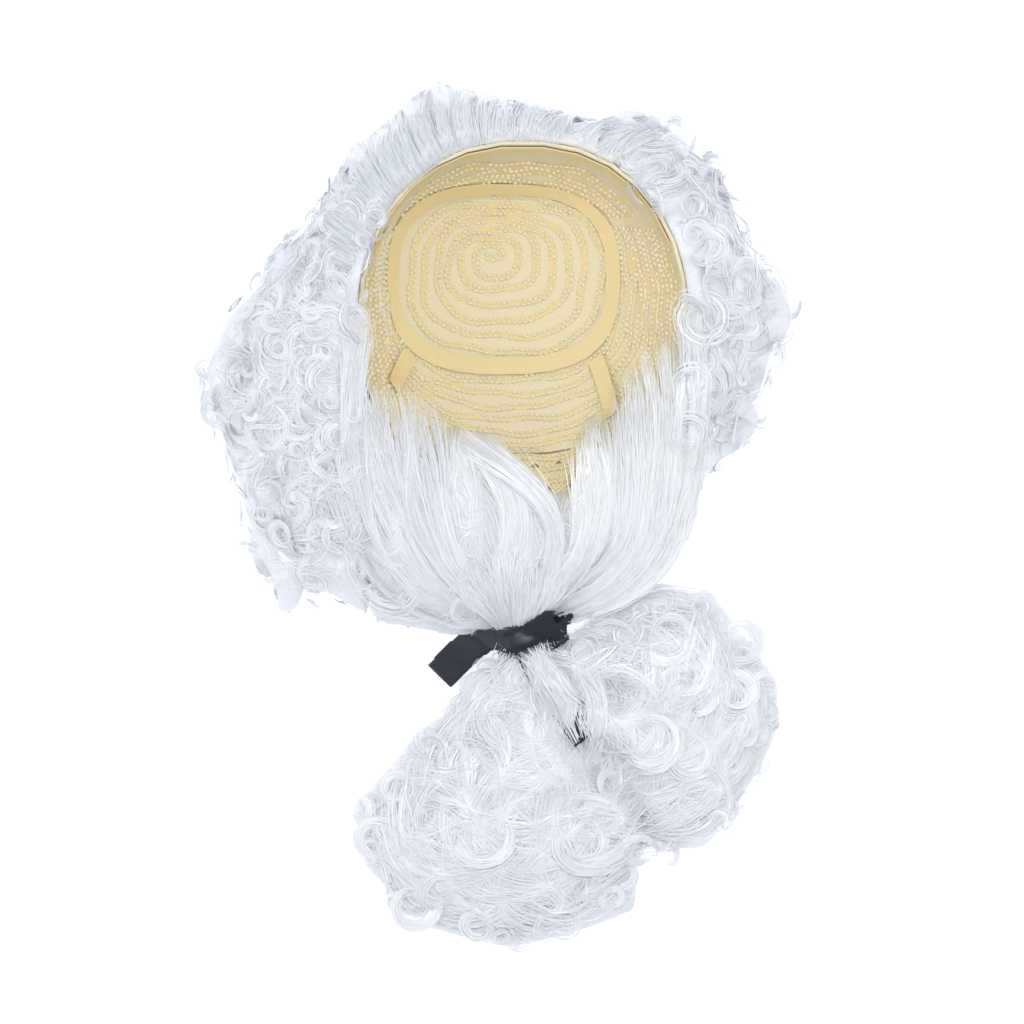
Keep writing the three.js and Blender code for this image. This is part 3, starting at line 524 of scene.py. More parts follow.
@dataclass
class Sheaf:
    """Thin flat fibres gathered into a few meshes."""

    name: str
    steps: int = 10
    width: float = 0.00042
    root: float = 0.4
    lines: list[Points] = field(default_factory=list)
    facings: list[Points] = field(default_factory=list)
    tints: list[Points] = field(default_factory=list)
    root_shades: list[Points] = field(default_factory=list)

    def add(self, lines: Points, facings: Points, tints: Points, root_shades: Points | None = None) -> None:
        """Keeps a batch of fibres.

        Args:
            lines: Centre lines, as fibres by points by three.
            facings: The way each point of a fibre faces.
            tints: Lightness of each fibre or of each of its points, 0 to 1.
            root_shades: Share of the root colour at each point, a painted shade by the cord, warm where the
                net shows through, or nothing for none.
        """
        self.lines.append(lines)
        self.facings.append(facings)
        along = tints[:, None] if tints.ndim == 1 else tints
        self.tints.append(np.clip(np.broadcast_to(along, lines.shape[:2]), 0, 1))
        self.root_shades.append(np.zeros(lines.shape[:2]) if root_shades is None else root_shades)

    def build(self, material: bpy.types.Material) -> None:
        """Makes the fibres' meshes, none of them over the size of one piece."""
        kept = [np.concatenate(batch) for batch in (self.lines, self.facings, self.tints, self.root_shades)]
        most = TRIANGLES_A_PIECE // (2 * self.steps)
        for number, start in enumerate(range(0, len(kept[0]), most)):
            mesh = self._mesh(*(table[start : start + most] for table in kept))
            show(f"{self.name}_{number + 1}", mesh, material)
            log.info("built %s_%d, %d faces", self.name, number + 1, len(mesh.polygons))

    def _mesh(self, lines: Points, facings: Points, tints: Points, root_shades: Points) -> bpy.types.Mesh:
        """Joins one array of flat strips into a mesh that carries tint and painted root shade."""
        count, steps = lines.shape[:2]
        side = unit(np.cross(unit(np.gradient(lines, axis=1)), facings))
        share = np.linspace(0, 1, steps)
        taper = np.minimum(1, np.minimum(share * 6 + self.root, (1 - share) * 4 + 0.15))
        half = 0.5 * self.width * (0.7 + 0.6 * tints)[..., None] * taper[None, :, None]
        verts = np.stack([lines - side * half, lines + side * half], axis=2).reshape(-1, 3)
        base = (np.arange(count)[:, None] * steps + np.arange(steps - 1)[None, :]).reshape(-1) * 2
        faces = np.stack([base, base + 1, base + 3, base + 2], axis=1)
        mesh = bpy.data.meshes.new(self.name)
        mesh.from_pydata(verts, [], faces.tolist())
        for label, values in (("tint", tints), ("root_shade", root_shades)):
            carried = mesh.attributes.new(label, "FLOAT", "POINT")
            carried.data.foreach_set("value", np.repeat(values.reshape(-1), 2))
        return mesh


def wander(rng: np.random.Generator, count: int, steps: int, turns: float) -> Points:
    """Makes smooth random waves, one for each fibre.

    Args:
        rng: Source of chance.
        count: Number of fibres.
        steps: Points on each.
        turns: About how many waves along a fibre.

    Returns:
        Waves of about unit size, as fibres by points.
    """
    t = np.linspace(0, 1, steps)[None, :]
    wave = np.zeros((count, steps))
    for size, rate in ((0.7, 0.6), (0.4, 1.3), (0.2, 2.3)):
        phase = rng.uniform(0, 2 * np.pi, (count, 1))
        pace = rng.uniform(0.6, 1.4, (count, 1)) * rate * turns
        wave += size * np.sin(2 * np.pi * pace * t + phase)
    return wave


class HairShell:
    """Outer surface of the hair round the opening, read from its bodies.

    A place on it is an angle round the opening and a share v, from the hair's inner lip at 0 over
    its crest and down the outside to the floor at 1.
    """

    angles = 180
    rows = 60
    inner_slope = math.radians(135)
    outer_slope = math.radians(-34)

    def __init__(self, bodies: list[bpy.types.Object], centre: Points) -> None:
        """Samples the surface with rays.

        Args:
            bodies: The hair round the opening.
            centre: Plan centre of the head opening.
        """
        tree = surface_of(bodies)
        turn = np.arange(self.angles) / self.angles * 2 * np.pi
        away = np.stack([np.cos(turn), np.sin(turn), 0 * turn], axis=1)
        inner = np.linalg.norm(rounded(turn, RIM), axis=1)
        radii = np.zeros((self.angles, self.rows))
        core = np.zeros((self.angles, 3))
        slopes = np.linspace(self.inner_slope, self.outer_slope, self.rows)
        for i in range(self.angles):
            level = np.array([*centre, 0.032])
            hit = tree.ray_cast(Vector(level + away[i] * 0.4), Vector(-away[i]))[0]
            outer = (hit - Vector(level)).length if hit else inner[i] + 0.03
            core[i] = level + away[i] * (0.5 * (inner[i] + outer) - 0.003)
            for k, slope in enumerate(slopes):
                ray = away[i] * math.cos(slope) + np.array([0, 0, math.sin(slope)])
                found = tree.ray_cast(Vector(core[i] + ray * 0.25), Vector(-ray))[0]
                radii[i, k] = (found - Vector(core[i])).length if found else 0.03
        outside = radii[:, self.rows // 2 :]
        for step in (1, 2):
            outside[:] = np.maximum(outside, 0.5 * (np.roll(outside, step, 0) + np.roll(outside, -step, 0)))
        for _ in range(2):
            radii = 0.5 * radii + 0.25 * (np.roll(radii, 1, 0) + np.roll(radii, -1, 0))
            core = 0.5 * core + 0.25 * (np.roll(core, 1, 0) + np.roll(core, -1, 0))
        ray = away[:, None, :] * np.cos(slopes)[None, :, None]
        ray = ray + np.array([0, 0, 1.0]) * np.sin(slopes)[None, :, None]
        grid = core[:, None, :] + ray * radii[..., None]
        grid[..., 2] = np.maximum(grid[..., 2], 0.002)
        beyond = np.linalg.norm(grid[..., :2] - centre, axis=2) > (inner + 0.0018)[:, None]
        starts = np.argmax(beyond & (grid[..., 2] > 0.7 * grid[..., 2].max(1, keepdims=True)), axis=1)
        self.grid = np.stack([spaced(grid[i, start:], self.rows) for i, start in enumerate(starts)])
        round_it = np.roll(self.grid, -1, 0) - np.roll(self.grid, 1, 0)
        self.normals = unit(np.cross(np.gradient(self.grid, axis=1), round_it))

    def _read(self, table: Points, angle: Points, v: Points) -> Points:
        """Reads a grid between its rows and columns."""
        a = np.mod(np.asarray(angle) / 360.0, 1.0) * self.angles
        k = np.clip(v, 0, 1) * (self.rows - 1)
        i0 = np.floor(a).astype(int) % self.angles
        i1 = (i0 + 1) % self.angles
        k0 = np.clip(np.floor(k).astype(int), 0, self.rows - 2)
        fa, fb = (a - np.floor(a))[..., None], (k - k0)[..., None]
        low = table[i0, k0] * (1 - fb) + table[i0, k0 + 1] * fb
        high = table[i1, k0] * (1 - fb) + table[i1, k0 + 1] * fb
        return low * (1 - fa) + high * fa

    def at(self, angle: Points, v: Points, lift: Points | float = 0.0) -> tuple[Points, Points]:
        """Finds points on the hair and the way it faces there.

        Args:
            angle: Angles round the opening, in degrees.
            v: Shares from the inner lip to the floor.
            lift: Distance above the surface.

        Returns:
            The points and their outward directions.
        """
        facing = unit(self._read(self.normals, angle, v))
        lift = np.broadcast_to(np.asarray(lift, float), np.shape(angle))
        return self._read(self.grid, angle, v) + facing * lift[..., None], facing


class Ground:
    """Height of some bodies seen from above, as a table over the plan."""

    pitch = 0.0016
    margin = 0.03

    def __init__(self, objects: list[bpy.types.Object], hole: Points | None = None) -> None:
        """Drops a ray at each place of the table, then fills what it missed from beside it.

        Args:
            objects: The bodies.
            hole: Middle of the head opening, which is then left out, or nothing.
        """
        tree = surface_of(objects)
        corners = np.concatenate([vertex_table(o)[:, :2] for o in objects])
        self.low = corners.min(0) - self.margin
        self.shape = tuple(int(s) + 2 for s in (corners.max(0) + self.margin - self.low) / self.pitch)
        heights = np.zeros(self.shape)
        self.filled = np.zeros(self.shape, bool)
        for i in range(self.shape[0]):
            for j in range(self.shape[1]):
                start = Vector((self.low[0] + i * self.pitch, self.low[1] + j * self.pitch, 0.4))
                hit = tree.ray_cast(start, Vector((0, 0, -1)))[0]
                if hit:
                    heights[i, j] = hit.z
                    self.filled[i, j] = True
        if hole is not None:
            sides = (self.low[k] + self.pitch * np.arange(self.shape[k]) - hole[k] for k in (0, 1))
            x, y = np.meshgrid(*sides, indexing="ij")
            size = np.abs(x / RIM[0]) ** RIM_POWER + np.abs(y / RIM[1]) ** RIM_POWER
            self.filled &= size > 1.06
        self.room = self.filled.astype(float)
        for _ in range(8):
            self.room = (self._blur(self.room) > 0).astype(float)
        for _ in range(6):
            self.room = (self._blur(self.room) > 0.99).astype(float)
        if hole is not None:
            self.room *= size > 1.0
        self.heights = self._spread(heights, self.filled.astype(float), 24)
        even = self.heights
        for _ in range(5):
            even = self._blur(even)
        slope_x, slope_y = np.gradient(even, self.pitch)
        self.facing = unit(np.stack([-slope_x, -slope_y, np.ones(self.shape)], axis=-1))

    @staticmethod
    def _blur(table: Points) -> Points:
        """Averages each place of a table with those beside it."""
        total = table * 2
        for axis in (0, 1):
            total = total + np.roll(table, 1, axis) + np.roll(table, -1, axis)
        return total / 6

    def _spread(self, heights: Points, weight: Points, times: int) -> Points:
        """Grows the filled part of the table outwards at its own height."""
        out = heights * weight
        for _ in range(times):
            share = self._blur(weight)
            grown = self._blur(out * weight) / np.maximum(share, 1e-6)
            out = np.where(weight > 0, out, np.where(share > 0, grown, 0))
            weight = np.maximum(weight, (share > 0).astype(float))
        return out

    def _cell(self, xy: Points) -> tuple[Points, Points, Points, Points]:
        """Cell and share inside it of plan points."""
        at = (xy - self.low) / self.pitch
        i = np.clip(np.floor(at[..., 0]).astype(int), 0, self.shape[0] - 2)
        j = np.clip(np.floor(at[..., 1]).astype(int), 0, self.shape[1] - 2)
        return i, j, np.clip(at[..., 0] - i, 0, 1), np.clip(at[..., 1] - j, 0, 1)

    def covers(self, xy: Points) -> Points:
        """Tells which plan points lie over the bodies."""
        i, j, _, _ = self._cell(xy)
        return self.filled[i, j]

    def near(self, xy: Points) -> Points:
        """Tells which plan points lie over the bodies, the gaps between them or just past them."""
        i, j, _, _ = self._cell(xy)
        return self.room[i, j] > 0

    def holds(self, line: Points, margin: float) -> bool:
        """Tells whether a plan line lies over the bodies with a margin on each side."""
        moves = margin * np.array([(0, 0), (1, 0), (-1, 0), (0, 1), (0, -1)])
        return bool(self.near(line[None] + moves[:, None]).all())

    def faces(self, xy: Points) -> Points:
        """Gives the way that the bodies face at plan points."""
        i, j, _, _ = self._cell(xy)
        return self.facing[i, j]

    def scatter(
        self, rng: np.random.Generator, count: int, low: Points | None = None, high: Points | None = None
    ) -> Points:
        """Scatters plan points over the bodies, inside a rectangle if one is given."""
        low = self.low if low is None else low
        high = self.low + np.array(self.shape) * self.pitch if high is None else high
        spots = rng.uniform(low, high, (12 * count, 2))
        return spots[self.covers(spots)][:count]

    def lay(self, xy: Points, lift: Points | float = 0.0) -> Points:
        """Puts plan points on the bodies, at a distance above them."""
        i, j, fx, fy = self._cell(xy)
        h = self.heights
        low = h[i, j] * (1 - fy) + h[i, j + 1] * fy
        high = h[i + 1, j] * (1 - fy) + h[i + 1, j + 1] * fy
        z = low * (1 - fx) + high * fx + lift
        return np.concatenate([xy, z[..., None]], axis=-1)


@dataclass
class Coil:
    """One swirl of fibres that lies on the hair."""

    centre: Points
    across: Points
    facing: Points
    reach: float
    turn: float
    arc: float
    hand: float
    ring: float = 0.3
    dome: float = 0.3
    lean: float = 0.2

    def fibres(self, rng: np.random.Generator, count: int, steps: int) -> tuple[Points, Points]:
        """Draws the swirl's fibres.

        Args:
            rng: Source of chance.
            count: Number of fibres.
            steps: Points on each fibre.

        Returns:
            Their centre lines and the way they face.
        """
        along = np.cross(self.facing, self.across)
        share = np.clip(rng.normal(0.85 - 0.5 * self.ring, self.ring * 0.55, (count, 1)), 0.1, 1.15)
        t = np.linspace(0, 1, steps)[None, :]
        length = self.arc * rng.uniform(0.45, 1.0, (count, 1))
        begin = self.turn + self.hand * rng.uniform(0, 0.45, (count, 1)) * self.arc
        angle = begin + self.hand * length * t + 0.06 * wander(rng, count, steps, 1.5)
        radius = self.reach * share * (1 - 0.32 * t) * (1 + 0.05 * wander(rng, count, steps, 1.2))
        spoke = np.cos(angle)[..., None] * self.across + np.sin(angle)[..., None] * along
        bulge = 0.3 * self.reach * np.cos(np.clip((share - 0.75) * 2.4, -1.5, 1.5))
        rise = bulge * self.dome + 0.02 * self.reach + rng.uniform(0, 0.18, (count, 1)) * self.reach * t
        line = self.centre + radius[..., None] * spoke + rise[..., None] * self.facing
        tilt = (share - 0.72) * 2.2 + self.lean * rng.normal(0, 1, (count, 1))
        line[..., 2] = np.maximum(line[..., 2], 0.0008)
        return line, unit(self.facing + tilt[..., None] * spoke)


@dataclass
class Flow:
    """Combed hair that follows a line on the plan, from its root to its end.

    points are millimetres from the middle of the head opening, half is the half width at the root,
    in the middle and at the end, and lift the height over the hair below it.
    """

    points: tuple[tuple[float, float], ...]
    half: tuple[float, float, float]
    lift: float

    def fibres(
        self, ground: Ground, origin: Points, rng: np.random.Generator, count: int, steps: int
    ) -> tuple[Points, Points]:
        """Draws the fibres, gathered into locks that wave a little.

        Args:
            ground: The hair that they lie on.
            origin: Plan point that the line is measured from.
            rng: Source of chance.
            count: Number of fibres.
            steps: Points on each fibre.

        Returns:
            Their centre lines and the way they face.
        """
        knots = spaced(np.array(self.points) * 0.001 + origin, 60)
        line = spaced(evened(knots, 40), 60)
        forth = unit(np.gradient(line, axis=0))
        side = np.stack([-forth[:, 1], forth[:, 0]], axis=1)
        place = rng.uniform(-1.1, 1.1, (count, 1)) + rng.normal(0, 0.12, (count, 1))
        start = rng.uniform(0, 1, (count, 1)) ** 1.2 * 0.36
        end = 1 - rng.uniform(0, 0.2, (count, 1))
        share = start + (end - start) * np.linspace(0, 1, steps)[None, :]
        at = (share * 59).astype(int)
        first, second, third = rng.uniform(0, 2 * np.pi, 3)
        slow = 0.32 * np.sin(5.0 * share + 1.6 * place + first)
        drift = slow + 0.16 * np.sin(11.0 * share + 3.0 * place + second)
        half = 0.001 * np.interp(share, [0, 0.5, 1], self.half)
        offset = half * (place + drift * (1 - 0.6 * share)) + 0.0004 * wander(rng, count, steps, 1.6)
        hook = 0.0032 * rng.normal(0, 1, (count, 1)) * (1 - np.linspace(0, 1, steps)[None, :]) ** 3
        plan = line[at] + side[at] * (offset + hook)[..., None]
        ridge = 7.0 * place + 2.5 * share + third
        arch = np.sin(np.pi * np.clip(share, 0, 1)) ** 0.7
        height = 0.001 * self.lift * arch * rng.uniform(0.4, 1, (count, 1)) + 0.0005 * (1 + np.cos(ridge))
        laid = ground.lay(plan, height)
        level = laid[..., 2].copy()
        for _ in range(2):
            level[:, 1:-1] = 0.25 * (level[:, :-2] + 2 * level[:, 1:-1] + level[:, 2:])
        laid[..., 2] = np.maximum(level, laid[..., 2] - 0.001)
        across = np.concatenate([side[at], np.zeros((*at.shape, 1))], axis=2)
        lean = 0.25 * np.sin(ridge)[..., None] + 0.28 * rng.normal(0, 1, (count, 1, 1))
        return laid, unit(ground.faces(plan) + lean * across)


@dataclass
class ForeheadRoll:
    """Hair combed out and back over the forehead edge, its ends turning under."""

    shell: HairShell
    from_angle: float = 42.0
    to_angle: float = 164.0
    locks: int = 66
    fibres_a_lock: int = 72

    def build(self, sheaf: Sheaf, rng: np.random.Generator) -> None:
        """Lays the locks side by side from the edge cord outwards."""
        steps, count = sheaf.steps + 1, self.fibres_a_lock
        for number in range(self.locks):
            middle = self.from_angle + (self.to_angle - self.from_angle) * (number + 0.5) / self.locks
            sweep = -9.0 - 16.0 * min(max((105 - middle) / 50, 0), 1) + rng.normal(0, 3)
            begin = rng.uniform(0, 0.25, (count, 1)) ** 2
            end = rng.uniform(0.4, 0.97, (count, 1))
            share = begin * 0.4 + (end - begin * 0.4) * np.linspace(0, 1, steps)[None, :]
            inside = rng.normal(0, 1.0, (count, 1))
            angle = middle + 1.1 * inside + sweep * share**1.2 + 0.7 * wander(rng, count, steps, 0.8)
            arch = 0.0035 * np.sin(np.pi * np.minimum(1, 1.6 * share)) ** 2
            lift = 0.0006 + arch * rng.uniform(0, 1, (count, 1))
            line, facing = self.shell.at(angle, share, lift)
            beside = unit(np.cross(np.gradient(line, axis=1), facing))
            # painted shade on the roots by the cord, fading out along the first eighth of each fibre
            root_shade = 0.85 * np.clip(1 - share / 0.12, 0, 1)
            # painted highlight: a bright band along the crest of the roll, then painted shade darkens the
            # roll's outer side
            painted_highlight_and_shade = 0.7 * np.exp(-(((share - 0.14) / 0.04) ** 2)) - 0.4 * np.clip((share - 0.2) / 0.12, 0, 1)
            lean = 0.25 * inside[..., None] + 0.2 * rng.normal(0, 1, (count, 1, 1))
            sheaf.add(line, unit(facing + lean * beside), rng.normal(0.4, 0.12, (count, 1)) + painted_highlight_and_shade, root_shade)


@dataclass
class SideCurls:
    """Curls that cover one side of the wig from the rim down to the floor."""

    shell: HairShell
    side: Side
    curls: int
    reach: tuple[float, float]
    fibres_a_curl: int = 31

    def build(self, sheaf: Sheaf, rng: np.random.Generator) -> None:
        """Coils a curl at evenly scattered places of the side."""
        low, high = self.side.value
        for number in range(self.curls):
            angle = low + (high - low) * ((number * 0.6180339887 + 0.13) % 1.0)
            v = 0.04 + 0.9 * ((number + 0.5) / self.curls) ** 1.3
            point, facing = self.shell.at(np.array([angle, angle + 1.0]), np.array([v, v]), 0.0005)
            tilted = unit(facing[0] + 0.35 * rng.normal(0, 1, 3))
            across = point[1] - point[0]
            coil = Coil(
                centre=point[0],
                across=unit(across - tilted * np.dot(across, tilted)),
                facing=tilted,
                reach=rng.uniform(*self.reach) * (1.25 if number % 5 == 0 else 1.0) * min(1, 0.45 + 4 * v),
                turn=rng.uniform(0, 2 * np.pi),
                arc=rng.uniform(2.2, 6.8),
                hand=rng.choice([-1, 1]),
                ring=rng.uniform(0.2, 0.55),
                dome=rng.uniform(0.3, 1.0),
            )
            line, faces = coil.fibres(rng, self.fibres_a_curl, sheaf.steps + 1)
            sheaf.add(line, faces, rng.normal(0.55, 0.24, len(line)))


@dataclass
class Frizz:
    """Loose single hairs that arc over a body of hair."""

    ground: Ground
    hairs: int
    reach: tuple[float, float]
    lift: float

    def build(self, sheaf: Sheaf, rng: np.random.Generator, node_names: tuple[str, ...]) -> None:
        """Scatters the hairs over the plan box of some nodes.

        Args:
            sheaf: Where the fibres go.
            rng: Source of chance.
            node_names: Nodes whose box holds the hairs.
        """
        boxes = np.array([[list(c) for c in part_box(n)] for n in node_names])
        spots = self.ground.scatter(rng, self.hairs, boxes[:, 0].min(0)[:2], boxes[:, 1].max(0)[:2])
        count, steps = len(spots), sheaf.steps + 1
        t = np.linspace(-0.5, 0.5, steps)[None, :]
        radius = rng.uniform(*self.reach, (count, 1))
        angle = rng.uniform(0, 2 * np.pi, (count, 1)) + t * rng.uniform(1.5, 4.5, (count, 1))
        angle = angle + 0.08 * wander(rng, count, steps, 1.0)
        spoke = np.stack([np.cos(angle), np.sin(angle)], axis=2)
        plan = spots[:, None, :] + radius[..., None] * (spoke - spoke[:, steps // 2][:, None, :])
        kept = self.ground.near(plan).all(axis=1)
        plan, count = plan[kept], int(kept.sum())
        rise = self.lift * rng.uniform(0, 1, (count, 1)) * (1 - (2 * t) ** 2) + 0.001
        line = self.ground.lay(plan, rise)
        facing = unit(self.ground.faces(plan) + 0.4 * rng.normal(0, 1, (count, 1, 3)))
        sheaf.add(line, facing, rng.uniform(0.3, 1.0, count))


@dataclass
class WavyLocks:
    """Loose locks that bend this way and that over a body of hair."""

    ground: Ground
    away_from: Points
    locks: int
    fibres_a_lock: int
    bend: tuple[float, float]
    length: tuple[float, float]
    half: float
    lift: float

    def build(self, sheaf: Sheaf, rng: np.random.Generator, node_names: tuple[str, ...]) -> None:
        """Scatters the locks over the plan box of some nodes.

        Args:
            sheaf: Where the fibres go.
            rng: Source of chance.
            node_names: Nodes whose box holds the locks.
        """
        boxes = np.array([[list(c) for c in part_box(n)] for n in node_names])
        spots = self.ground.scatter(rng, 6 * self.locks, boxes[:, 0].min(0)[:2], boxes[:, 1].max(0)[:2])
        lines = [self._line(spot, rng) for spot in spots]
        for line in [line for line in lines if self.ground.holds(line, self.half)][: self.locks]:
            self._fibres(line, sheaf, rng)

    def _line(self, spot: Points, rng: np.random.Generator) -> Points:
        """Plan line of one lock, an arc that may bend back at its end."""
        away = spot - self.away_from
        heading = math.atan2(away[1], away[0]) + rng.normal(0, 0.8)
        length = rng.uniform(*self.length)
        turn = rng.choice([-1, 1]) * length / rng.uniform(*self.bend)
        t = np.linspace(0, 1, 30)
        back = rng.uniform(0.4, 1.4)
        angle = heading + turn * np.where(t < back, t, 2 * back - t)
        step = np.stack([np.cos(angle), np.sin(angle)], axis=1) * length / 29
        path = spot + np.cumsum(step, axis=0)
        return path - (path[15] - spot)

    def _fibres(self, line: Points, sheaf: Sheaf, rng: np.random.Generator) -> None:
        """Draws a lock's fibres, which spread in its middle and meet at its end."""
        count, steps = self.fibres_a_lock, sheaf.steps + 1
        forth = unit(np.gradient(line, axis=0))
        side = np.stack([-forth[:, 1], forth[:, 0]], axis=1)
        start = rng.uniform(0, 0.3, (count, 1))
        share = start + (1 - 0.3 * rng.uniform(0, 1, (count, 1)) - start) * np.linspace(0, 1, steps)[None, :]
        at = (share * 29).astype(int)
        inside = rng.normal(0, 0.6, (count, 1))
        wide = self.half * rng.uniform(0.6, 1.3) * (1 - 0.65 * share**2)
        offset = wide * inside + 0.08 * self.half * wander(rng, count, steps, 1.2)
        plan = line[at] + side[at] * offset[..., None]
        bulge = 0.35 * self.half * np.sqrt(np.clip(1 - (0.8 * inside) ** 2, 0, 1))
        rise = bulge + self.lift * rng.uniform(0, 1, (count, 1)) * np.sin(np.pi * np.clip(share, 0, 1))
        laid = self.ground.lay(plan, 0.0006 + rise)
        across = np.concatenate([side[at], np.zeros((*at.shape, 1))], axis=2)
        lean = 0.3 * inside[..., None] + 0.22 * rng.normal(0, 1, (count, 1, 1))
        facing = unit(self.ground.faces(plan) + lean * across)
        sheaf.add(laid, facing, rng.normal(rng.normal(0.7, 0.1), 0.14, count))


@dataclass
class Gathered:
    """Hair drawn along flows, such as the nape's hair into the tie."""

    ground: Ground
    origin: Points
    flows: tuple[Flow, ...]
    fibres_a_flow: int
    lightness: float = 0.6
    root_shade_strength: float = 0.0
    # painted highlight: how much lighter a flow is made for each millimetre further right it starts
    painted_highlight_right: float = 0.0

    def build(self, sheaf: Sheaf, rng: np.random.Generator) -> None:
        """Draws every flow."""
        share = np.linspace(0, 1, sheaf.steps + 1)
        for flow in self.flows:
            line, facing = flow.fibres(self.ground, self.origin, rng, self.fibres_a_flow, sheaf.steps + 1)
            # painted shade on the roots by the cord, fading out along the first fifth of each fibre
            root_shade = np.tile(self.root_shade_strength * np.clip(1 - share / 0.2, 0, 1), (len(line), 1))
            # painted highlight: flows that start further right are made lighter
            light = self.lightness + self.painted_highlight_right * flow.points[0][0] + 0.1 * rng.normal()
            sheaf.add(line, facing, rng.normal(light, 0.22, len(line)), root_shade)


@dataclass
class Ring:
    """A large open curl: its place and reach in millimetres, where it begins and its hand."""

    x: float
    y: float
    reach: float
    turn: float
    hand: int


@dataclass
class TailCurls:
    """Large open curls of the tail with small ones between them."""

    ground: Ground
    origin: Points
    rings: tuple[Ring, ...]
    small: int
    fibres_a_ring: int = 100
    fibres_a_curl: int = 34

    def build(self, large: Sheaf, fine: Sheaf, rng: np.random.Generator) -> None:
        """Draws the small curls, then the large ones over them.

        Args:
            large: Where the large curls' fibres go.
            fine: Where the small curls' fibres go.
            rng: Source of chance.
        """
        for spot in self.ground.scatter(rng, 3 * self.small):
            reach, inland = rng.uniform(0.006, 0.013), rng.uniform(0, 1) > 0.12
            outside = not self.ground.holds(spot[None], 0.55 * reach)
            if outside or (inland and self.ground.holds(spot[None], 0.014)):
                continue
            coil = self._coil(spot, reach, rng.uniform(0, 6.28), rng)
            line, facing = coil.fibres(rng, self.fibres_a_curl, fine.steps + 1)
            fine.add(line, facing, rng.normal(0.5, 0.22, len(line)))
        for ring in self.rings:
            spot = self.origin + 0.001 * np.array([ring.x, ring.y])
            coil = self._coil(spot, 0.001 * ring.reach, math.radians(ring.turn), rng)
            coil.arc, coil.hand, coil.ring, coil.dome, coil.lean = 4.4, ring.hand, 0.2, 0.3, 0.3
            line, facing = coil.fibres(rng, self.fibres_a_ring, large.steps + 1)
            large.add(line, facing, rng.normal(0.95, 0.15, len(line)))

    def _coil(self, spot: Points, reach: float, turn: float, rng: np.random.Generator) -> Coil:
        """Coil on the ground at a plan point, facing as the hair does there."""
        facing = unit(self.ground.faces(spot) * np.array([0.5, 0.5, 1.0]) + 0.15 * rng.normal(0, 1, 3))
        across = unit(np.cross([0.0, 1.0, 0.0], facing))
        arc, hand = rng.uniform(2.2, 6.5), rng.choice([-1, 1])
        middle, lean = self.ground.lay(spot, 0.0015), rng.uniform(0.2, 0.9)
        return Coil(middle, across, facing, reach, turn, arc, hand, 0.6, lean)


